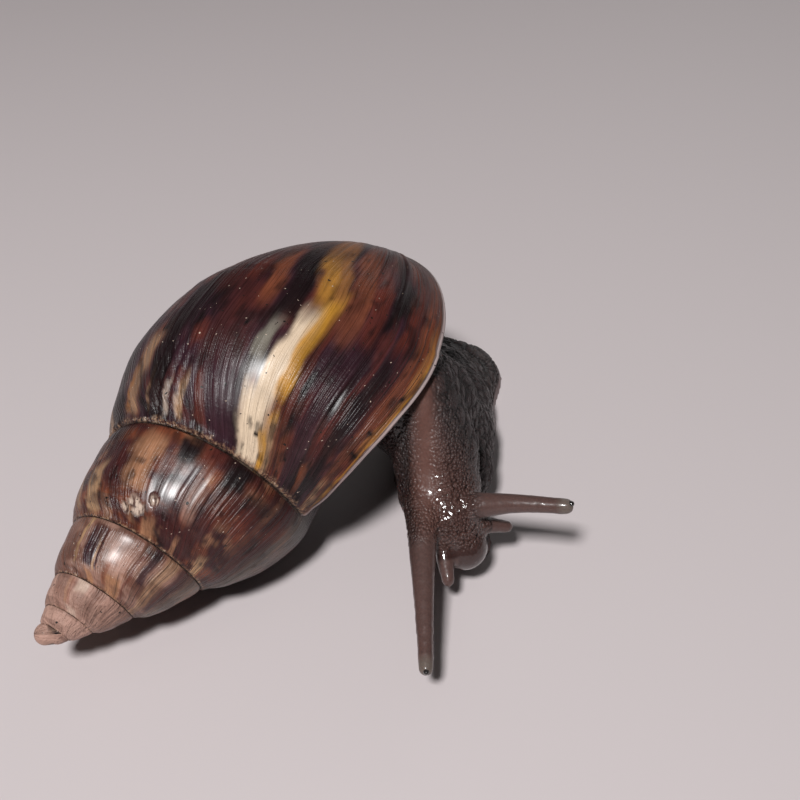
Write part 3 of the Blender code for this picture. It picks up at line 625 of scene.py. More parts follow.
# ---------------------------------------------------------------- shell pattern
# a streak: degrees back from the lip at u = 1, half its width, lean in degrees for each
# unit of u, the first and last u, its colour and its strength
STREAKS = [
    # the last turn, from far to near the lip
    (-150, 12, 2, -1, 0.8, "tan", 0.55), (-128, 9, 9, -1, 3.2, "dark", 0.9),
    (-110, 6, 13, 0.05, 2, "umber", 0.8), (-109.5, 3.4, 13, 0.15, 1.9, "tan", 0.6),
    (-113.5, 2, 13, 0.2, 1.5, "amber", 0.7), (-99, 1.1, 11, 0.1, 1.2, "tan", 0.4),
    (-95, 5.5, 5, -1, 3.2, "dark", 0.9), (-87.5, 1, 11, 0.05, 1.1, "bone", 0.5),
    (-80.5, 2.2, 9, 0.05, 1.1, "tan", 0.8), (-82.5, 1, 9, 0.05, 0.95, "bone", 0.35),
    (-72.5, 2.6, 3, 0.2, 1.35, "red", 0.8), (-66, 9, 0, 1.2, 2.6, "wine", 0.85),
    (-64, 8, 0, -1, 1.6, "plum", 0.85), (-75, 9, 0, 2.3, 4.4, "wine", 0.9),
    (-71, 3, 0, 2.6, 3.4, "red", 0.65), (-54.5, 3.6, -4, 2.4, 3.8, "rust", 0.8),
    (-45.5, 4.2, -4, 2.2, 4.4, "dark", 0.95), (-48.3, 6.2, 0.2, -1, 1.5, "cream", 1),
    (-46.4, 3.9, 1.7, 1.2, 2.68, "cream", 1), (-39.6, 3.6, 0.3, -1, 1.3, "tan", 0.75),
    (-42, 1.5, 0, -1, 0.95, "gold", 0.9), (-40, 1.6, 0, 0.95, 1.35, "gold", 0.8),
    (-41, 2.3, 0.9, 1.35, 2.75, "gold", 0.95), (-41.2, 3.4, 1.2, 2.1, 2.9, "gold", 0.85),
    (-36.6, 1.6, 0.3, -1, 2.6, "red", 0.8), (-31.5, 5.6, -5.8, 2.6, 4.7, "amber", 0.85),
    (-33.5, 3, -5.8, 2.6, 3.7, "gold", 0.5), (-27, 4, -3, 2.2, 4.4, "rust", 0.75),
    (-31, 3.2, 0, 0.15, 1.2, "rust", 0.55), (-26, 4.4, 0, -1, 2.5, "plum", 0.85),
    (-18, 3.4, -4, 2.3, 4.4, "red", 0.7), (0.6, 1.2, -8, 3, 4.7, "dark", 0.8),
    (-21.2, 1.4, 0, -1, 3, "dark", 0.5), (-18.6, 1.4, 0, 0.1, 1, "rust", 0.8),
    (-18.6, 1.2, 0, 1, 3, "red", 0.5), (-14.2, 3, 0, -1, 2.6, "dark", 0.85),
    (-13, 2.6, 0, 2.5, 4.8, "red", 0.85), (-10.6, 1.2, 0, 1.2, 3.6, "wine", 0.6),
    (-7, 2.6, 0, -1, 5.4, "rust", 0.65), (-7, 1.6, 0, -1, 0.9, "tan", 0.7),
    (-4.4, 1.3, 0, 0.9, 6, "red", 0.9), (-2.2, 1.3, 0, -1, 6.1, "rust", 0.85),
    (-2.6, 1, 0, 0.2, 1, "gold", 0.7), (-2.6, 1.1, 0, 1.5, 2, "gold", 0.6),
    (-3.2, 1.9, 0, 1.2, 3.5, "amber", 0.7), (-1.9, 0.6, 0, 0.1, 3.2, "gold", 0.6),
    # a painted reflection: the pale bluish streak beside the shine of the last turn
    (-54.2, 2.4, 1.2, 1.45, 2.35, "painted_reflection", 0.85),
    # the turn before
    (-497, 18, 3, -1, 3.2, "umber", 0.8), (-486, 5, 3, 0.3, 2.2, "tan", 0.5),
    (-465, 7, 6, 0.1, 1.9, "tan", 0.85), (-461, 2, 0, 0.5, 0.9, "wine", 0.8),
    (-447, 5, 3, 1.1, 2.7, "wine", 0.85), (-430, 8.5, 1, 1.25, 2.8, "honey", 0.9),
    (-451, 5, 3, -1, 1.1, "honey", 0.45), (-440, 3.4, 7, -1, 1.1, "wine", 0.75),
    (-423, 4, 7, -1, 0.9, "dark", 0.55), (-413, 5, 5, -1, 0.8, "honey", 0.9),
    (-397, 5, 8, 0.2, 1.35, "wine", 0.9), (-383, 6, 5, -1, 1.35, "wine", 0.95),
    (-390, 2, 6, -1, 0.7, "honey", 0.7), (-368, 4.2, 0, -1, 0.85, "tan", 0.85),
    (-377, 5, 0, 1.2, 2.1, "red", 0.75), (-366, 12, 0, 1.5, 2.95, "red", 0.7),
    (-362, 9, 0, 2.3, 2.7, "honey", 0.55), (-404, 14, 0, 1.3, 2.4, "plum", 0.6),
    # the second streak here, pale clay at -391, is a painted highlight: a lavender sheen
    # beside the shine
    (-395, 6, 0, 2.4, 2.95, "red", 0.7), (-391, 4.5, 0, 1.2, 2.3, "clay", 0.6),
    (-407, 6.5, 0, 2.22, 3.05, "dark", 1), (-379, 7, 0, 2.22, 3.15, "dark", 1),
    (-349, 6.5, 0, 2.15, 3.15, "dark", 1), (-465, 16, 0, 2.35, 3.2, "dark", 0.8),
    (-357, 2, 4, 2.2, 2.9, "honey", 0.75), (-345, 12, 0, -1, 3.2, "wine", 0.7),
    # a painted reflection: a pale bluish sheen along the edge of this turn where it turns
    # away
    (-322, 14, 0, -1, 3.2, "painted_reflection", 0.35),
    # the third turn back
    (-846, 30, 0, -1, 3.2, "umber", 0.9), (-806, 2.2, 4, 0.8, 3.2, "tan", 0.95),
    (-789, 7.5, 2, 0.9, 2.75, "plum", 0.95), (-789, 5, 0, -1, 0.9, "honey", 0.9),
    # the first streak here, a thin tan line at -781, is a painted highlight: a thin shining
    # line
    (-781, 1.3, 0, 0.8, 2.2, "tan", 0.8), (-778, 1.3, 0, 0.9, 2.6, "plum", 0.8),
    # the first streak here, blush at -760, is the pinkish ground of this turn with a
    # painted highlight laid in it
    (-760, 13, 0, 1.2, 2.6, "blush", 0.85), (-757, 10, 3, -1, 1.35, "honey", 0.95),
    (-768, 3, 3, 0.2, 1.7, "rust", 0.6), (-744, 1.6, 3, 0.2, 2.9, "red", 0.6),
    (-731.5, 4, 0, 1.2, 3.2, "plum", 0.85), (-735, 9, 0, 2.45, 3, "dark", 0.8),
    (-766, 5, 0, 2.65, 3, "dark", 0.6), (-717, 6.5, 0, -1, 3, "tan", 0.5),
    # the last streak here is a painted reflection: a pale sheen along the turned-away edge
    (-702, 5, 0, 0.8, 3, "plum", 0.8), (-680, 14, 0, -1, 3.2, "painted_reflection", 0.45),
    # the worn turns
    (-1162, 16, 0, -1, 3.2, "umber", 0.6), (-1147, 3, 0, 0.8, 2.8, "honey", 0.6),
    (-1141, 3.5, 0, 0.8, 2.9, "rust", 0.55), (-1127, 9, 0, 1.9, 3.2, "bone", 0.6),
    (-1121, 11, 0, 0.7, 2.3, "clay", 0.85), (-1103, 6, 0, 0.4, 3.2, "umber", 0.5),
    (-1135, 12, 0, -1, 0.8, "bone", 0.4),
]
PALETTE = ("dark", "plum", "wine", "umber", "red", "rust", "amber", "gold",
           "honey", "tan", "clay", "blush", "bone", "cream", "painted_reflection")
# silky places with a broader shine: degrees, half width, first and last u, strength
SILK = [(-66, 15, 0.2, 2.4, 0.32), (-52, 5.5, 1.1, 1.9, 0.9), (-24, 6, 0.8, 2.2, 0.6),
        (-400, 25, 0.9, 2.75, 0.9), (-757, 18, 1.3, 2.8, 0.45), (-787, 7, 0.8, 2.6, 0.6)]
# worn pits and dark blemishes: degrees, u, and their half sizes
PITS = [(-424.5, 0.95, 7, 0.28), (-412.5, 1.32, 3.5, 0.12), (-433, 0.72, 3.5, 0.2)]
BLEMISHES = [(-45.6, 0.68, 1, 0.05), (-47.4, 2.62, 0.4, 0.03), (-96, 1.92, 1.6, 0.03),
             (-4.5, 1.42, 1.8, 0.06), (-5.2, 1.75, 1.2, 0.05), (-3.8, 2.3, 0.8, 0.05),
             (-30, 0.62, 0.8, 0.04), (-61.5, 2.12, 0.7, 0.03)]


def over(colour, other, amount):
    """Lay another colour over the first by this amount at each point."""
    return colour + (other - colour) * np.clip(amount, 0, 1)[..., None]


def specks(table, degrees, u, ragged, low, high):
    """1 inside the oval places of the table, 0 outside them, with a ragged edge."""
    inside = np.zeros_like(u)
    for centre, middle, half, tall in table:
        d = np.sqrt(((degrees - centre) / half) ** 2 + ((u - middle) / tall) ** 2) + ragged
        inside = np.maximum(inside, 1 - smooth(d, low, high))
    return inside


def shell_masks(theta, u, settings):
    """The colour of every point of the shell, with some painted highlights and reflections,
    and where it is worn or crumbly.
    """
    degrees = np.degrees(theta)
    g = growth_length(theta)
    age = -degrees / 360.0                         # turns back from the lip
    size = WHORL_GROWTH ** (theta / TAU)
    ink = {name: np.array(getattr(settings, name)) for name in PALETTE}
    across = u * np.minimum(1.0, size / SMALL_WHORL)
    wander = 3.6 * (grain("wander", g, across) - 0.5)
    ragged = 3.0 * (grain("ragged", g, across) - 0.5)
    at = degrees + (wander + ragged) * np.where(age > 1.2, 1.4, 1.0)
    streak = grain("streak", g + wander, across)
    blot = noise(stack(g / (2.6 * size ** 0.4), across * (2.1 + 0.6 * (age > 1.1))), 25, 3)
    crumbs = grain("crumbs", g, u)
    spire, young = smooth(age, 0.86, 1.02), smooth(age, 1.78, 2.02)

    # the grounds: plum on the last turn, red-brown before it, pale and worn on the tip
    colour = over(ink["dark"], ink["plum"], smooth(streak, 0.25, 0.52))
    colour = over(colour, ink["red"],
                  0.8 * smooth(blot * 0.6 + streak * 0.4, 0.50, 0.72))
    red = over(over(colour, ink["wine"], 0.7), ink["rust"],
               0.8 * smooth(blot * 0.7 + streak * 0.3, 0.43, 0.68))
    red = over(red, ink["honey"], 0.60 * smooth(grain("patch", g, across), 0.60, 0.80))
    colour = over(colour, red, spire)
    clouds = over(ink["umber"], ink["clay"],
                  0.9 * smooth(blot * 0.5 + streak * 0.5, 0.40, 0.62))
    colour = over(colour, clouds, young)
    scar = grain("scar", g, u)
    worn = smooth(age + 0.8 * (scar - 0.5), 2.60, 3.25)
    blush = over(ink["blush"], ink["clay"], 0.9 * smooth(scar, 0.46, 0.66))
    colour = over(colour, blush, worn)

    for centre, half, lean, low, high, name, strength in STREAKS:
        d = np.abs(at - centre - lean * (u - 1.0)) / half
        shape = 1 - smooth(d + 0.4 * (streak - 0.5), 0.60, 1.30)
        ends = smooth(u + 0.40 * (blot - 0.5), low, low + 0.30) \
            * (1 - smooth(u + 0.55 * (blot - 0.5), high - 0.28, high + 0.14))
        amount = shape * ends * strength
        if name not in ("cream", "bone"):
            amount = amount * (0.62 + 0.38 * smooth(streak * 0.5 + blot * 0.5, 0.30, 0.52))
        colour = over(colour, ink[name], amount)
    brown = over(ink["wine"], ink["rust"], smooth(streak, 0.40, 0.75))
    colour = over(colour, brown, 0.75 * (smooth(u, 3.5, 4.9) * (1 - spire)))
    grime = 0.60 * smooth(grain("grime", g, across), 0.60, 0.74)
    colour = over(colour, ink["dark"], grime * (1 - young))

    silk = np.zeros_like(u)
    for centre, half, low, high, strength in SILK:
        silk = np.maximum(silk, strength * smooth(half - np.abs(at - centre), 0.0, 5.0)
                          * smooth(u + 0.5 * (blot - 0.5), low, low + 0.35)
                          * (1 - smooth(u + 0.5 * (blot - 0.5), high - 0.35, high)))
    pit = specks(PITS, degrees, u, 0.8 * (grain("pit", g, u) - 0.5), 0.70, 1.10)
    colour = over(colour, ink["bone"], 0.95 * pit)
    colour = over(colour, ink["umber"] * 0.5, pit * smooth(crumbs, 0.52, 0.66))
    colour = over(colour, ink["dark"] * 0.3,
                  specks(BLEMISHES, degrees, u, 0.5 * (crumbs - 0.5), 0.8, 1.2))

    band = (1 - smooth(u + 0.15 * (crumbs - 0.5), 0.05, 0.16)) * (u < 3)
    rim = smooth(degrees + 0.9 * (crumbs - 0.5), -1.75, -1.15) \
        * (0.55 + 0.45 * smooth(u, 0.9, 2.5))
    has_next_turn = theta < -(1 - 1 / LAG_PARTS) * TAU
    seam = np.maximum(1 - smooth(u, 0.0, 0.02),
                      smooth(u, 2.945, 2.985) * (u <= 3.0) * has_next_turn)
    pale = smooth(colour.mean(1), 0.15, 0.40)
    level = 1 + (0.50 * (grain("fine", g, across) - 0.5) + 0.40 * (streak - 0.5)) \
        * (1 - 0.75 * pale)
    return {"tint": colour * level[:, None], "band": band, "seam": seam, "pit": pit,
            "worn": np.maximum(worn, pit), "pale": pale, "rim": rim, "silk": silk}


def shell_mesh(settings):
    """The whole shell as one closed mesh, with the masks of its pattern."""
    where, quads, rim, loop = shell_grid(COLUMNS, ROWS_SPIRE, ROWS_BASE)
    theta, u = where.T
    points = shell_point(theta, u)
    # the outward direction, from a plain mesh of the same grid
    plain = mesh_from("plain", points, quads)
    out = values_of(plain, "normal")
    bpy.data.meshes.remove(plain)
    on_axis = APEX + ((points - APEX) @ AXIS)[:, None] * AXIS
    if ((points - on_axis) * out).sum() < 0:
        out = -out
    masks = shell_masks(theta, u, settings)
    points = points + out * shell_relief(theta, u, settings.ridge_depth / MM)[:, None]
    points = points - out * (PIT_DEPTH * masks["pit"])[:, None]
    masks["lay"] = stack(growth_length(theta), u * LAY_ROW, 0.0)
    masks["inner"] = np.zeros(len(points))
    faces = [list(dict.fromkeys(face)) for face in quads.tolist()]
    more_points, more = [], {name: [] for name in masks}

    def ring_of(places, like, **values):
        """Add points that take their masks from like, apart from the values given."""
        first = len(points) + len(more_points)
        more_points.extend(places)
        for name, store in more.items():
            store.extend([values[name]] * len(places) if name in values
                         else masks[name][like])
        return list(range(first, first + len(places)))

    # the lip is rounded over and the wall runs on into the mouth
    thick, ring = settings.lip_thickness / MM, rim
    for depth, drawn_in, inner, edge in LIP_RINGS:
        places = inset(mouth_loop(depth), drawn_in * thick)
        new = ring_of(places, rim, inner=inner, rim=edge)
        faces += between(ring, new)
        ring = new
    faces += cap(ring, True)
    # the apex is a blunt worn dome
    centre, around = dome_frame(points[loop])
    bare = {"seam": 0.0, "band": 0.0, "worn": 1.0, "tint": tuple(settings.blush)}
    ring = loop
    for angle in np.radians(DOME_ANGLES):
        places = centre + DOME_RADIUS * (math.cos(angle) * DOME_DIRECTION
                                         + math.sin(angle) * around)
        new = ring_of(places, loop, **bare)
        faces += between(new, ring)
        ring = new
    tip = ring_of([centre + DOME_RADIUS * DOME_DIRECTION], loop[:1], **bare)[0]
    faces += [face[::-1] for face in fan(ring, tip)]
    for name, tail in more.items():
        masks[name] = np.concatenate([masks[name], np.array(tail, float)])
    mesh = mesh_from("shell_surface", np.vstack([points, more_points]), faces)
    with editing(mesh) as bm:
        bmesh.ops.recalc_face_normals(bm, faces=bm.faces)
        if bm.calc_volume(signed=True) < 0:
            bmesh.ops.reverse_faces(bm, faces=bm.faces)
    # nothing reaches below the floor: the lowest part of the shell is worn flat
    points = points_of(mesh)
    points[:, 2] = np.maximum(points[:, 2], 0.0)
    move_points(mesh, points)
    paint(mesh, **masks)
    return mesh


def shell_finish(settings):
    """Glossy horn: dark streaks over amber, cream flashes, a worn spire, a pale lip."""
    m = Finish("snail_shell_horn")
    lay = m.vector("lay")
    spot = m.add("TexCoord").outputs["Object"]
    thread = m.grain(m.stretch(lay, (1.9, 0.05, 1.0)), 1.0, 2.0, 0.5)
    hair = m.grain(m.stretch(lay, (4.6, 0.12, 1.0)), 1.0, 1.0, 0.5)
    clouds = m.grain(m.stretch(lay, (0.9, 0.9, 1.0)), 1.0, 4.0, 0.6)
    level = m.ramp(m.sum("ADD", m.times(thread, 0.6), m.times(clouds, 0.4)),
                   [(0.30, 0.72), (0.50, 1.0), (0.70, 1.26)])
    calm = m.sum("SUBTRACT", 1.0, m.times(m.mask("pale"), 0.7))
    colour = m.mix(calm, m.vector("tint"), level, "MULTIPLY")
    flecks = m.ramp(m.grain(spot, 1900.0, 3.0, 0.7),
                    [(0.40, FLECK_BROWN), (0.50, settings.umber), (0.58, settings.tan),
                     (0.72, settings.bone)])
    colour = m.cover(colour, "band", flecks, 0.85)
    colour = m.cover(colour, "seam", SEAM_BROWN, 0.85)
    chalk = m.mix(m.grain(spot, 900.0, 4.0, 0.65), settings.inside, settings.bone)
    colour = m.cover(colour, "inner", chalk)
    colour = m.cover(colour, "rim", settings.lip)
    soil = m.ramp(m.grain(spot, 1300.0, 1.0, 0.5), [(0.745, 0.0), (0.76, 1.0)])
    colour = m.mix(soil, colour, SOIL_BLACK)
    dust = m.ramp(m.grain(m.stretch(spot, (1.0, 1.0, 1.7)), 1700.0, 1.0, 0.5),
                  [(0.772, 0.0), (0.792, 0.9)])
    colour = m.mix(dust, colour, settings.bone)
    rough = m.cover(m.ramp(clouds, [(0.3, 0.27), (0.7, 0.38)]), "worn", WORN_ROUGH)
    normal = m.bump(m.sum("ADD", m.times(thread, 0.7), m.times(hair, 0.3)),
                    THREAD_DEPTH, 1.0)
    pores = m.times(m.grain(spot, 2300.0, 3.0, 0.6), m.sum("ADD", m.mask("worn"), 0.35))
    normal = m.bump(pores, PORE_DEPTH, 0.9, under=normal)
    m.set(Base_Color=colour, Roughness=rough, Normal=normal, IOR=1.5,
          Coat_Weight=m.sum("ADD", m.times(m.mask("silk"), 0.85), 0.05),
          Coat_Roughness=0.29, Specular_IOR_Level=0.30)
    return m.material


# ---------------------------------------------------------------- soft body as a field
def soft_min(a, b, k):
    """The lesser of two distances, rounded over a width of k where they meet."""
    h = np.clip(0.5 + 0.5 * (b - a) / k, 0, 1)
    return b + (a - b) * h - k * h * (1 - h)


def along(points, table, soft=1.0):
    """Distance to a chain of balls of changing radius."""
    best = None
    table = np.asarray(table, float)
    for a, b in zip(table[:-1], table[1:]):
        step = b[:-1] - a[:-1]
        t = np.clip((points - a[:-1]) @ step / (step @ step), 0, 1)
        near = a[:-1] + t[..., None] * step
        d = np.sqrt(((points - near) ** 2).sum(-1)) - (a[-1] + t * (b[-1] - a[-1]))
        best = d if best is None else soft_min(best, d, soft)
    return best


def foot_field(points):
    """Distance to the low foot, whose sides lean in."""
    side = along(points[..., :2], FOOT, FOOT_SOFT) + FLARE * points[..., 2]
    return -soft_min(-side, FOOT_RISE - points[..., 2], 1.5)


def feeler_line(name):
    """The feeler with its root in the head and the small swelling at its tip."""
    line = spline(FEELERS[name], 6)
    root = line[0, :3] + unit(line[0, :3] - line[1, :3]) * ROOT_DEPTH
    upper = "upper" in name
    if upper:
        line[-2:, 3] *= TIP_SWELLING
    further = 0.15 - line[-1, 3] * 0.35 if upper else -0.5 * line[-1, 3]
    line[-1, :3] += unit(line[-1, :3] - line[-2, :3]) * further
    return np.vstack([np.append(root, line[0, 3] * ROOT_SWELLING), line])


def grid_of(axes):
    """Every point of a regular grid."""
    return np.stack(np.meshgrid(*axes, indexing="ij"), -1)


def blend_near(values, axes, shape, low, high, reach, k):
    """Blend a shape into the sampled field inside its own box only."""
    part = tuple(slice(*np.searchsorted(a, (lo - reach, hi + reach)))
                 for a, lo, hi in zip(axes, low, high))
    grid = grid_of([a[s] for a, s in zip(axes, part)])
    values[part] = soft_min(values[part], shape(grid), k)


def chain_into(values, axes, table, k, soft=1.0):
    """Blend a chain of balls into the sampled field."""
    table = np.asarray(table, float)
    low = (table[:, :3] - table[:, 3:]).min(0)
    high = (table[:, :3] + table[:, 3:]).max(0)
    blend_near(values, axes, lambda p: along(p, table, soft), low, high, k + 0.8, k)


def signed_distance(points, tree, reach):
    """Distance to a closed mesh, negative inside it."""
    out = np.empty(len(points))
    ray = Vector(RAY).normalized()
    for i, p in enumerate(points):
        start = Vector(p)
        near = tree.find_nearest(start, reach)[3]
        near = reach if near is None else near
        crossings, hit = 0, tree.ray_cast(start, ray)[0]
        while hit is not None:
            crossings += 1
            hit = tree.ray_cast(hit + ray * RAY_STEP, ray)[0]
        out[i] = -near if crossings % 2 else near
    return out


def plug_tree(rings):
    """Search tree and box of a closed body made of mouth-shaped rings."""
    verts = np.concatenate(rings)
    numbers = np.arange(len(verts)).reshape(len(rings), -1).tolist()
    faces = []
    for one, other in zip(numbers, numbers[1:]):
        faces += between(one, other)
    faces += cap(numbers[0], False) + cap(numbers[-1], True)
    return BVHTree.FromPolygons(verts.tolist(), faces), verts.min(0), verts.max(0)


def surface_net(values, origin, step):
    """Quads of the zero surface of a sampled field."""
    inside = values < 0
    total = np.zeros(tuple(n - 1 for n in values.shape) + (3,), np.float32)
    count = np.zeros(total.shape[:3], np.float32)
    crossings = []
    for axis in range(3):
        lo = tuple(slice(0, -1) if a == axis else slice(None) for a in range(3))
        hi = tuple(slice(1, None) if a == axis else slice(None) for a in range(3))
        cell = np.argwhere(inside[lo] != inside[hi])
        at = tuple(cell.T)
        spot = cell.astype(np.float32)
        spot[:, axis] += values[lo][at] / (values[lo][at] - values[hi][at])
        others = [a for a in range(3) if a != axis]
        for back in np.ndindex(2, 2):
            near = cell.copy()
            near[:, others] -= back
            good = (near >= 0).all(1) & (near < total.shape[:3]).all(1)
            into = tuple(near[good].T)
            np.add.at(total, into, spot[good])
            np.add.at(count, into, 1)
        crossings.append((cell, inside[lo][at]))
    used = count > 0
    number = np.full(used.shape, -1, int)
    number[used] = np.arange(used.sum())
    verts = total[used].astype(float) / count[used][:, None] * step + origin
    quads = []
    for axis, (cell, low_inside) in enumerate(crossings):
        ring = []
        for back in ((1, 1), (0, 1), (0, 0), (1, 0)):
            near = cell.copy()
            near[:, [(axis + 1) % 3, (axis + 2) % 3]] -= back
            near = np.clip(near, 0, np.array(used.shape) - 1)
            ring.append(number[tuple(near.T)])
        quad = np.stack(ring, -1)
        quad[~low_inside] = quad[~low_inside][:, ::-1]
        quads.append(quad[quad.min(1) >= 0])
    return verts, np.concatenate(quads)


def skin_field(settings, cutter):
    """Sampled field of the whole soft body, clear of the shell, with its grid."""
    step = settings.grid / MM
    low = np.array([*FIELD_LOW, -0.5 * step])
    axes = [np.arange(lo, hi, step) for lo, hi in zip(low, FIELD_HIGH)]
    values = np.full(tuple(len(a) for a in axes), FAR)
    blend_near(values, axes, foot_field, *FOOT_BOX, BLEND, FOOT_BLEND)
    for table in (BACK, STALK, NECK):
        chain_into(values, axes, table, BLEND)
    for name in FEELERS:
        chain_into(values, axes, feeler_line(name), FEELER_BLEND, FEELER_SOFT)
    blend_collar(values, axes)
    clear_of_shell(values, axes, cutter, settings.shell_gap / MM)
    return np.maximum(values, -axes[2]), low, step


def coarse_part(axes, low, high, every):
    """Part of the grid in a box, a whole number of coarse steps long, and its axes."""
    ends = [np.searchsorted(a, (lo, hi)) for a, lo, hi in zip(axes, low, high)]
    part = tuple(slice(a, a + (b - a) // every * every + 1) for a, b in ends)
    return part, [a[s] for a, s in zip(axes, part)]


def filled_in(coarse, every, shape):
    """Values at every grid point, from values at some of them."""
    for axis, size in enumerate(shape):
        place_at = np.arange(size)
        low = np.minimum(place_at // every, coarse.shape[axis] - 2)
        t = (place_at / every - low).reshape([-1 if a == axis else 1 for a in range(3)])
        coarse = np.take(coarse, low, axis) * (1 - t) \
            + np.take(coarse, low + 1, axis) * t
    return coarse


def blend_collar(values, axes):
    """Blend in the collar and the plug behind it."""
    rings = [inset(mouth_loop(depth), drawn_in, COLLAR_MOST)
             for depth, drawn_in in COLLAR_RINGS]
    tree, low, high = plug_tree(rings)
    part, sub = coarse_part(axes, low - REACH, high + REACH, COLLAR_EVERY)
    some = grid_of([a[::COLLAR_EVERY] for a in sub])
    coarse = signed_distance(some.reshape(-1, 3), tree, REACH)
    fine = filled_in(coarse.reshape(some.shape[:3]), COLLAR_EVERY, values[part].shape)
    values[part] = soft_min(values[part], fine, 1.0)


def clear_of_shell(values, axes, cutter, gap):
    """Cut the body back wherever the shell is, a hair's breadth off it."""
    verts, faces = cutter
    tree = BVHTree.FromPolygons(verts.tolist(), faces)
    part, sub = coarse_part(axes, verts.min(0) - 1.0, verts.max(0) + 1.0, SHELL_EVERY)
    body = values[part]
    some = grid_of([a[::SHELL_EVERY] for a in sub])
    coarse = np.full(some.shape[:3], FAR)
    wanted = body[(slice(None, None, SHELL_EVERY),) * 3] < 3.0
    coarse[wanted] = signed_distance(some[wanted], tree, LONG_REACH)
    shell = filled_in(coarse, SHELL_EVERY, body.shape)
    # near both surfaces the guess is replaced by the distance itself
    close = (body < 0.8) & (np.abs(shell) < 1.3)
    shell[close] = signed_distance(grid_of(sub)[close], tree, REACH)
    values[part] = np.maximum(body, gap - shell)


def shell_cutter():
    """A lighter closed copy of the shell, with its pocket, to hold the body off it."""
    where, quads, rim, loop = shell_grid(COLUMNS // CUT_COARSER, CUT_SPIRE, CUT_BASE)
    verts = list(shell_point(*where.T))
    faces = [list(dict.fromkeys(face)) for face in quads.tolist()]
    ring = rim
    for depth in POCKET_DEPTHS:
        outline = np.array(mouth_loop(depth, CUT_SPIRE, CUT_BASE))
        new = list(range(len(verts), len(verts) + len(ring)))
        verts.extend(outline + (outline.mean(0) - outline) * POCKET_DRAW)
        faces += between(ring, new)
        ring = new
    faces += fan(ring, len(verts))
    verts.append(np.mean([verts[i] for i in ring], axis=0))
    faces += fan(loop, len(verts))
    centre = dome_frame(np.array([verts[i] for i in loop]))[0]
    verts.append(centre + DOME_RADIUS * DOME_DIRECTION)
    return np.array(verts), faces


# ---------------------------------------------------------------- skin
def largest_piece(bm):
    """Drop loose crumbs so that the piece is one body."""
    left, groups = set(bm.verts), []
    while left:
        seed = left.pop()
        group, line = {seed}, [seed]
        while line:
            for edge in line.pop().link_edges:
                for other in edge.verts:
                    if other in left:
                        left.remove(other)
                        group.add(other)
                        line.append(other)
        groups.append(group)
    groups.sort(key=len)
    for group in groups[:-1]:
        bmesh.ops.delete(bm, geom=list(group), context="VERTS")


def spine_frame(points):
    """Distance along the spine and the two offsets from it, in mm."""
    line = spline(SPINE, 10)
    tangent = np.gradient(line, axis=0)
    tangent /= np.linalg.norm(tangent, axis=1)[:, None]
    up = UP - tangent[:, 2:] * tangent
    up /= np.linalg.norm(up, axis=1)[:, None]
    side = np.cross(tangent, up)
    steps = np.linalg.norm(np.diff(line, axis=0), axis=1)
    length = np.concatenate([[0], np.cumsum(steps)])
    near = np.concatenate([((part[:, None] - line[None]) ** 2).sum(-1).argmin(1)
                           for part in np.array_split(points, 60)])
    offset = points - line[near]
    s = length[near] + (offset * tangent[near]).sum(1)
    return stack(s, (offset * up[near]).sum(1), (offset * side[near]).sum(1))


def skin_masks(points, normals):
    """Where the skin is smooth, warm, pale, fine or coarse grained, and where shade is
    painted.
    """
    x, y, z = points.T
    sole = (z < 0.05).astype(float)
    feeler, tip = np.zeros((2, len(points)))
    for name in FEELERS:
        line = feeler_line(name)
        axis = line[-1, :3] - line[1, :3]
        t = (points - line[1, :3]) @ axis / (axis @ axis)
        on = (1 - smooth(along(points, line[1:], FEELER_SOFT), 0.35, 1.1)) \
            * smooth(t, -0.02, 0.20)
        feeler = np.maximum(feeler, on)
        tip = np.maximum(tip, on * smooth(t, 0.90, 0.99) * ("upper" in name))
    margin = along(points[:, :2], FOOT, FOOT_SOFT)
    fringe = (1 - smooth(z, 0.9, 1.7)) * smooth(margin, -2.6, -1.2) * (1 - sole)
    head = smooth(-y - 0.25 * (x + 3.5), 23.0, 31.0) * (1 - feeler)
    # how far each point lies to the animal's right of the smooth band of its neck
    beside = np.interp(-y, *BAND_LINE) - x
    high_up = smooth(z, 11.0, 17.0)
    dorsal = np.exp(-(beside / 2.0) ** 2) * high_up \
        * smooth(normals[:, 2] - normals[:, 1], 0.1, 0.9)
    warm = smooth(beside, 3.2, 4.6) * (y < -8)
    return {"feeler": feeler, "tip": tip, "fringe": fringe, "head": head,
            "flank": (1 - head) * (1 - feeler) * (1 - dorsal) * (1 - 0.6 * warm),
            # the furrow beside the smooth band is cut into the relief and also darkened
            # with painted shade
            "dorsal": dorsal, "furrow": np.exp(-(beside - 3.2) ** 2) * high_up,
            "warm": warm, "snout": smooth(-y, 33.5, 35.5) * (1 - smooth(z, 9.8, 11.6)),
            "strip": smooth(beside, 1.7, 2.9) * smooth(y, -33.0, -29.5),
            # painted shade: the back under the shell is darkened for the shell's shade,
            # over skin that is darker there too
            "back": smooth(y, -28.0, -20.0) * smooth(z, 3.0, 10.0),
            "sole": sole, "margin": margin}


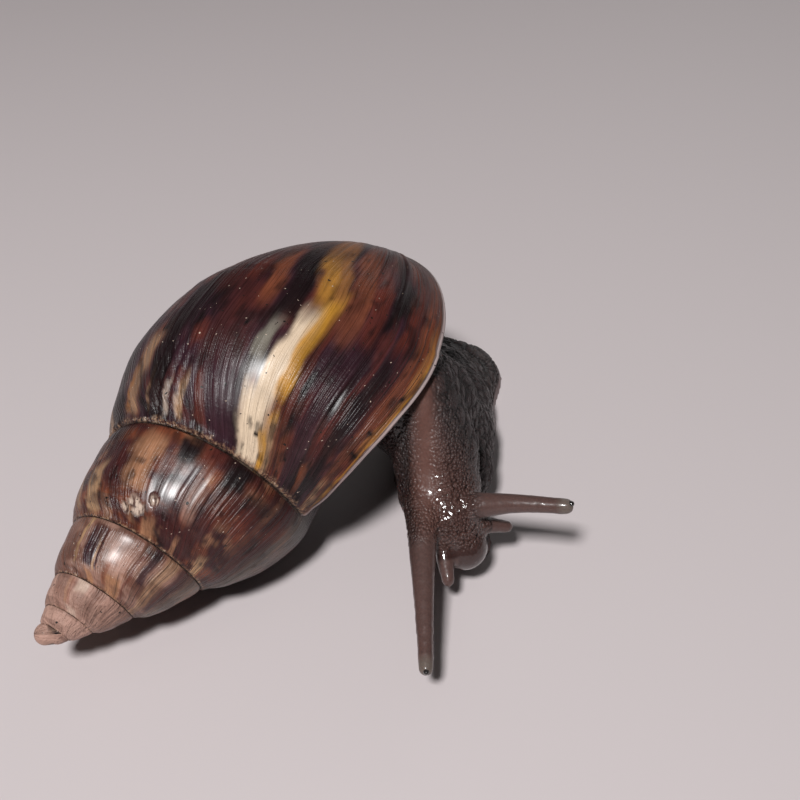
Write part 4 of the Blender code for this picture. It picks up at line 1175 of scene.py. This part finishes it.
def skin_relief(points, masks, settings):
    """Height of the tubercles, wrinkles and folds in mm, and how deep the grooves lie, for
    their painted shade.
    """
    lie = spine_frame(points)
    s, up, side = lie.T
    z = points[:, 2]
    wobble = 0.8 * (stack(*[noise(points / 3.0, 40 + k) for k in range(3)]) - 0.5)

    def tubercles(width, longer, bend, seed):
        """Rounded bumps, longer along the spine, and a number for each of them."""
        first, second, number = cells((stack(s / longer, up, side) + bend * wobble)
                                      / width * MM, seed)
        return smooth(second - first, -0.02, 0.32), number

    big, big_number = tubercles(settings.tubercle, 1.3, 0.6, 51)
    small, small_number = tubercles(settings.granule, 1.25, 0.5, 61)
    coarse = smooth(points[:, 1] + 0.15 * points[:, 0], -29.0, -23.0)
    calm = np.clip(masks["feeler"] + 0.95 * (masks["dorsal"] * smooth(z, 13.0, 18.0))
                   + masks["fringe"] + masks["sole"] + 0.9 * masks["snout"], 0, 1)
    height = coarse * BIG_HEIGHT * (big - 0.6) * (0.75 + 0.5 * big_number) \
        + (1 - coarse) * SMALL_HEIGHT * (small - 0.5) * (0.6 + 0.8 * small_number)
    height = height * (1 - calm)
    # lengthwise wrinkles beside the smooth band of the neck, rings on the feelers
    fold = noise(stack(s / 9.0, up / 1.1, side / 1.1), 71) - 0.5
    height = height + FOLD_HEIGHT * fold * (1 - masks["feeler"]) * (1 - masks["sole"]) \
        * smooth(z, 10.0, 15.0)
    ring = noise((points @ FEELER_LIE / 0.45)[:, None], 72) - 0.5
    height = height + RING_HEIGHT * ring * masks["feeler"] * (1 - masks["tip"])
    height = height - FURROW_DEPTH * masks["furrow"] * (1 - masks["feeler"])
    crease = np.exp(-((z - 1.75) / 0.30) ** 2) * smooth(masks["margin"], -3.2, -1.6)
    height = height - CREASE_DEPTH * crease
    # painted shade: the deeper a point lies between the tubercles, the darker its colour
    groove = (1 - (coarse * big + (1 - coarse) * small)) * (1 - calm) \
        * (0.35 + 0.65 * coarse)
    return height, groove, np.clip(calm + 0.35 * coarse, 0, 1), lie


def skin_mesh(settings):
    """The whole soft body as one mesh with its relief and masks."""
    values, origin, step = skin_field(settings, shell_cutter())
    verts, quads = surface_net(values, origin, step)
    verts[verts[:, 2] < 0.45 * step, 2] = 0.0
    mesh = mesh_from("skin_cage", verts, quads)
    with editing(mesh) as bm:
        largest_piece(bm)
        for _ in range(2):
            off_floor = [v for v in bm.verts if v.co.z > 0.3 * MM]
            bmesh.ops.smooth_vert(bm, verts=off_floor, factor=0.35, use_axis_x=True,
                                  use_axis_y=True, use_axis_z=True)
    mesh = unwrapped_and_divided(mesh)
    rest, normals = points_of(mesh), values_of(mesh, "normal")
    masks = skin_masks(rest, normals)
    height, groove, calm, lie = skin_relief(rest, masks, settings)
    on_floor = masks["sole"] > 0
    points = rest + normals * np.where(on_floor, 0.0, height)[:, None]
    points[:, 2] = np.where(on_floor, 0.0, np.maximum(points[:, 2], SKIN_LIFT))
    move_points(mesh, points)
    mesh.shade_smooth()
    masks.pop("margin")
    paint(mesh, groove=groove, calm=calm, lie=lie, rest=rest, **masks)
    return mesh


def unwrapped_and_divided(mesh):
    """Lay the cage out flat in a map named OFBake, then divide it once more."""
    obj = bpy.data.objects.new("skin_cage", mesh)
    bpy.context.scene.collection.objects.link(obj)
    bpy.context.view_layer.objects.active = obj
    obj.select_set(True)
    mesh.uv_layers.new(name="OFBake")
    bpy.ops.object.mode_set(mode="EDIT")
    bpy.ops.mesh.select_all(action="SELECT")
    bpy.ops.uv.smart_project(angle_limit=math.radians(72), island_margin=0.002)
    bpy.ops.object.mode_set(mode="OBJECT")
    divide = obj.modifiers.new("divide", "SUBSURF")
    divide.levels = divide.render_levels = 1
    graph = bpy.context.evaluated_depsgraph_get()
    fine = bpy.data.meshes.new_from_object(obj.evaluated_get(graph))
    bpy.data.objects.remove(obj, do_unlink=True)
    fine.name = "skin_surface"
    return fine


def skin_finish(settings):
    """Wet skin: lighter tubercles, a warm smooth band, a pinkish fringe; painted shade in
    the grooves, the furrow and under the shell.
    """
    m = Finish("snail_skin_wet")
    lie = m.vector("lie")
    mottle = m.grain(m.stretch(lie, (0.35, 0.6, 0.6)), 1.0, 4.0, 0.6)
    speckle = m.grain(lie, 3.0, 3.0, 0.6)
    colour = m.mix(mottle, settings.flank_dark, settings.flank)
    for name, other, share in (
            ("warm", m.mix(m.times(mottle, 0.5), settings.snout, settings.warm), 1.0),
            ("head", m.mix(mottle, settings.warm_dark, settings.warm), 1.0),
            # the back under the shell gets painted shade from the shell over its darker
            # skin
            ("strip", settings.snout, 0.65), ("back", settings.back, 0.60),
            ("dorsal", m.mix(mottle, settings.warm, settings.band), 1.0),
            ("snout", settings.snout, 0.9),
            ("feeler", m.mix(speckle, settings.feeler_dark, settings.feeler), 1.0),
            ("tip", settings.tip, 1.0), ("fringe", settings.fringe, 1.0),
            # painted shade: the grooves between the tubercles and the furrow beside the
            # smooth band are darkened
            ("groove", settings.groove, 0.90), ("furrow", settings.groove, 0.70),
            ("sole", settings.sole, 1.0)):
        colour = m.cover(colour, name, other, share)
    level = m.ramp(speckle, [(0.3, 0.86), (0.7, 1.10)])
    colour = m.mix(1.0, colour, level, "MULTIPLY")
    rough = m.cover(m.ramp(mottle, [(0.3, 0.28), (0.7, 0.42)]), "flank",
                    m.ramp(mottle, [(0.3, 0.44), (0.7, 0.58)]))
    wet = 0.95
    for name, drier in (("flank", 0.55), ("feeler", 0.55), ("back", 0.30)):
        wet = m.sum("SUBTRACT", wet, m.times(m.mask(name), drier), clamp=True)
    pimple = m.add("TexVoronoi", {"Vector": m.vector("rest"), "Scale": 2.2,
                                  "Smoothness": 0.15},
                   feature="SMOOTH_F1").outputs["Distance"]
    pimple = m.sum("SUBTRACT", 1.0, m.times(pimple, pimple))
    bare = m.sum("SUBTRACT", 1.0, m.mask("calm"), clamp=True)
    normal = m.bump(m.times(pimple, bare), PIMPLE_DEPTH, 1.0)
    normal = m.bump(speckle, SPECKLE_DEPTH, 0.6, under=normal)
    m.set(Base_Color=colour, Roughness=rough, Normal=normal, IOR=1.42,
          Coat_Weight=wet, Coat_Roughness=0.12, Coat_IOR=1.5, Specular_IOR_Level=0.3,
          Subsurface_Weight=0.12, Subsurface_Scale=0.0012,
          Subsurface_Radius=(1.0, 0.45, 0.30))
    return m.material


# ---------------------------------------------------------------- eyes
def eye_mesh(name):
    """A small bead set in the end of the feeler, a little above its middle."""
    feeler, radius = EYE_SEATS[name]
    line = feeler_line(feeler)
    out = unit(line[-1, :3] - line[-2, :3])
    aim = out * 0.80 + unit(UP - out[2] * out) * 0.60
    centre = line[-1, :3] + aim * (line[-1, 3] - 0.45 * radius)
    mesh = bpy.data.meshes.new(name + "_bead")
    with editing(mesh) as bm:
        bmesh.ops.create_uvsphere(bm, u_segments=32, v_segments=20, radius=radius * MM)
        bmesh.ops.scale(bm, vec=(1.0, 1.0, 0.92), verts=bm.verts)
        bmesh.ops.translate(bm, vec=Vector(centre) * MM, verts=bm.verts)
    mesh.shade_smooth()
    return mesh


def eye_finish(settings):
    """Nearly black and very glossy."""
    m = Finish("snail_eye_bead")
    ring = m.grain(m.add("TexCoord").outputs["Object"], 2500.0, 2.0)
    m.set(Base_Color=m.mix(ring, settings.eye, EYE_GREY),
          Roughness=m.ramp(ring, [(0.3, 0.10), (0.7, 0.2)]),
          Normal=m.bump(ring, EYE_DEPTH, 0.3), Coat_Weight=1.0, Coat_Roughness=0.04)
    return m.material


# ---------------------------------------------------------------- settings
def colour_of(name, words, value):
    """A colour that can be set in the panel."""
    return FloatVectorProperty(name=name, description=words, default=value,
                               subtype="COLOR", size=3, min=0.0, max=1.0)


def size_of(name, words, value, least=0.0, kind="LENGTH"):
    """A length or a power that can be set in the panel."""
    return FloatProperty(name=name, description=words, default=value, min=least,
                         unit=kind)


class SNAIL_PG_shell(bpy.types.PropertyGroup):
    """Sizes and colours of the shell."""
    lip_thickness: size_of("Lip thickness", "Thickness of the lip", 0.00055, 0.0002)
    ridge_depth: size_of("Ridge depth", "Height of the growth ridges", 0.00022)
    dark: colour_of("Dark", "Darkest streaks", (0.0095, 0.0042, 0.0048))
    plum: colour_of("Plum", "Purple-brown ground of the last turn",
                    (0.031, 0.0105, 0.0165))
    wine: colour_of("Wine", "Dark red-brown", (0.047, 0.0115, 0.0105))
    umber: colour_of("Umber", "Middle brown", (0.145, 0.062, 0.043))
    red: colour_of("Red", "Red-brown streaks", (0.098, 0.0205, 0.013))
    rust: colour_of("Rust", "Orange-brown streaks", (0.185, 0.053, 0.024))
    amber: colour_of("Amber", "Amber streaks", (0.29, 0.12, 0.036))
    gold: colour_of("Gold", "Yellow edges of the pale streaks", (0.48, 0.225, 0.028))
    honey: colour_of("Honey", "Tan patches of the spire", (0.31, 0.148, 0.08))
    tan: colour_of("Tan", "Pale horn colour", (0.38, 0.225, 0.125))
    clay: colour_of("Clay", "Soft brown clouds of the worn spire", (0.27, 0.15, 0.115))
    blush: colour_of("Blush", "Pinkish worn places", (0.44, 0.26, 0.205))
    bone: colour_of("Bone", "Bare lime", (0.6, 0.46, 0.37))
    cream: colour_of("Cream", "Cream flashes", (0.7, 0.54, 0.39))
    # the colour of the painted reflections: pale bluish sheen laid on the shell where the
    # light glances off
    painted_reflection: colour_of("Frost", "Bluish clouded places", (0.2, 0.18, 0.145))
    inside: colour_of("Inside", "Lining of the mouth", (0.56, 0.53, 0.56))
    lip: colour_of("Lip", "Edge of the lip", (0.42, 0.33, 0.32))


class SNAIL_PG_skin(bpy.types.PropertyGroup):
    """Sizes and colours of the living skin."""
    grid: size_of("Grid", "Mesh size of the skin before it is divided once", 0.0004,
                  0.0002)
    shell_gap: size_of("Gap", "How far the flesh keeps off the shell", 0.00012)
    tubercle: size_of("Tubercle", "Width of the large tubercles of the flanks", 0.0017,
                      0.0002)
    granule: size_of("Granule", "Width of the small tubercles of the head", 0.0005,
                     0.0002)
    flank: colour_of("Flank", "Flank, lighter", (0.066, 0.048, 0.047))
    flank_dark: colour_of("Dark flank", "Flank, darker", (0.034, 0.0245, 0.025))
    warm: colour_of("Warm", "Head and right side, lighter", (0.112, 0.053, 0.043))
    warm_dark: colour_of("Dark warm", "Head, darker", (0.05, 0.0235, 0.0205))
    snout: colour_of("Snout", "Snout and right side, darkest", (0.036, 0.0155, 0.0135))
    # the colour of the painted shade under the shell, over the darker skin of the back
    back: colour_of("Back", "Back under the shell", (0.020, 0.0135, 0.0145))
    band: colour_of("Band", "Smooth band along the neck", (0.135, 0.064, 0.051))
    feeler: colour_of("Feeler", "Feelers, lighter", (0.108, 0.061, 0.054))
    feeler_dark: colour_of("Dark feeler", "Feelers, darker", (0.08, 0.045, 0.039))
    tip: colour_of("Tip", "Swollen ends of the upper feelers", (0.13, 0.1, 0.085))
    fringe: colour_of("Fringe", "Margin of the foot", (0.15, 0.09, 0.085))
    # the colour of the painted shade in the grooves and the furrow
    groove: colour_of("Groove", "Bottoms of the grooves", (0.016, 0.013, 0.013))
    sole: colour_of("Sole", "Underside of the foot", (0.33, 0.27, 0.22))
    eye: colour_of("Eye", "Eye beads", (0.006, 0.005, 0.005))


class SNAIL_PG_stage(bpy.types.PropertyGroup):
    """Floor, lamps and surroundings."""
    floor_size: size_of("Floor size", "Side of the square floor", 1.6, 0.3)
    floor: colour_of("Floor", "Colour of the floor", (0.63, 0.565, 0.57))
    key: size_of("Key lamp", "Power of the lamp beside the camera", 5.7,
                 kind="POWER")
    fill: size_of("Fill lamp", "Power of the wide lamp overhead", 0.12,
                  kind="POWER")
    back: size_of("Back lamp", "Power of the soft lamp behind the snail", 0.6,
                  kind="POWER")
    ambient: size_of("Surroundings", "Brightness of the surroundings", 0.045,
                     kind="NONE")


# ---------------------------------------------------------------- operators
class SNAIL_OT_shell(bpy.types.Operator):
    """Build the coiled shell with its growth ridges, streaks and open mouth"""
    bl_idname = "snail.shell"
    bl_label = "Shell"

    def execute(self, context):
        settings = context.scene.snail_shell
        mesh = shell_mesh(settings)
        place("snail_shell", mesh, shell_finish(settings), ("shell",))
        return {"FINISHED"}


class SNAIL_OT_skin(bpy.types.Operator):
    """Build the soft body as one skin from the tail to the feelers"""
    bl_idname = "snail.skin"
    bl_label = "Skin"

    def execute(self, context):
        settings = context.scene.snail_skin
        mesh = skin_mesh(settings)
        place("snail_skin", mesh, skin_finish(settings), FLESH_NODES)
        return {"FINISHED"}


class SNAIL_OT_eyes(bpy.types.Operator):
    """Set the two eye beads in the ends of the upper feelers"""
    bl_idname = "snail.eyes"
    bl_label = "Eyes"

    def execute(self, context):
        finish = eye_finish(context.scene.snail_skin)
        for name in EYE_SEATS:
            place("snail_" + name, eye_mesh(name), finish, (name,))
        return {"FINISHED"}


class SNAIL_OT_stage(bpy.types.Operator):
    """Set out the floor, the lamps, the surroundings and the camera"""
    bl_idname = "snail.stage"
    bl_label = "Stage"

    def execute(self, context):
        settings = context.scene.snail_stage
        scene = context.scene
        mesh = bpy.data.meshes.new("stage_floor")
        with editing(mesh) as bm:
            bmesh.ops.create_grid(bm, x_segments=1, y_segments=1,
                                  size=settings.floor_size / 2)
        floor = bpy.data.objects.new("stage_floor", mesh)
        scene.collection.objects.link(floor)
        plain = Finish("stage_plain")
        plain.set(Base_Color=(*settings.floor, 1.0), Roughness=0.6)
        mesh.materials.append(plain.material)
        target = Vector(CAMERA_TARGET) * MM
        for name, (size, offset) in LAMPS.items():
            lamp(name + "_lamp", getattr(settings, name), size, target, offset)
        world = bpy.data.worlds.new("plain_surroundings")
        world.use_nodes = True
        inputs = world.node_tree.nodes["Background"].inputs
        inputs["Color"].default_value = (*SKY, 1.0)
        inputs["Strength"].default_value = settings.ambient
        scene.world = world
        scene.view_settings.view_transform = "Standard"
        camera = bpy.data.cameras.new("camera")
        camera.angle = math.radians(CAMERA_ANGLE)
        camera.clip_start, camera.clip_end = CAMERA_NEAR, CAMERA_FAR
        eye = bpy.data.objects.new("camera", camera)
        lift = math.radians(CAMERA_LIFT)
        eye.location = target + Vector((0.0, -math.cos(lift), math.sin(lift))) \
            * CAMERA_DISTANCE * MM
        eye.rotation_euler = (math.pi / 2 - lift, 0.0, 0.0)
        scene.collection.objects.link(eye)
        scene.camera = eye
        return {"FINISHED"}


def lamp(name, power, size, target, offset):
    """A square area lamp that looks at the target."""
    light = bpy.data.lights.new(name, "AREA")
    light.energy, light.size = power, size
    obj = bpy.data.objects.new(name, light)
    obj.location = target + Vector(offset)
    obj.rotation_euler = (target - obj.location).to_track_quat("-Z", "Y").to_euler()
    bpy.context.scene.collection.objects.link(obj)


class SNAIL_PT_panel(bpy.types.Panel):
    """Buttons for every part of the snail"""
    bl_idname = "SNAIL_PT_panel"
    bl_label = "Giant african land snail"
    bl_space_type = "VIEW_3D"
    bl_region_type = "UI"
    bl_category = "Snail"

    def draw(self, context):
        for part in ("shell", "skin", "eyes", "stage"):
            self.layout.operator("snail." + part)
        for group in GROUPS:
            box = self.layout.box()
            settings = getattr(context.scene, group)
            for name in settings.bl_rna.properties.keys():
                if name not in ("rna_type", "name"):
                    box.prop(settings, name)


GROUPS = {"snail_shell": SNAIL_PG_shell, "snail_skin": SNAIL_PG_skin,
          "snail_stage": SNAIL_PG_stage}
CLASSES = (*GROUPS.values(), SNAIL_OT_shell, SNAIL_OT_skin, SNAIL_OT_eyes,
           SNAIL_OT_stage, SNAIL_PT_panel)


def register():
    """Make the classes known, and give the scene their settings."""
    for cls in CLASSES:
        bpy.utils.register_class(cls)
    for name, group in GROUPS.items():
        setattr(bpy.types.Scene, name, PointerProperty(type=group))


def unregister():
    """Take the settings and the classes away again."""
    for name in GROUPS:
        delattr(bpy.types.Scene, name)
    for cls in reversed(CLASSES):
        bpy.utils.unregister_class(cls)


def main():
    """Build every piece and the stage."""
    register()
    bpy.ops.snail.shell()
    bpy.ops.snail.skin()
    bpy.ops.snail.eyes()
    bpy.ops.snail.stage()


if __name__ == "__main__":
    main()
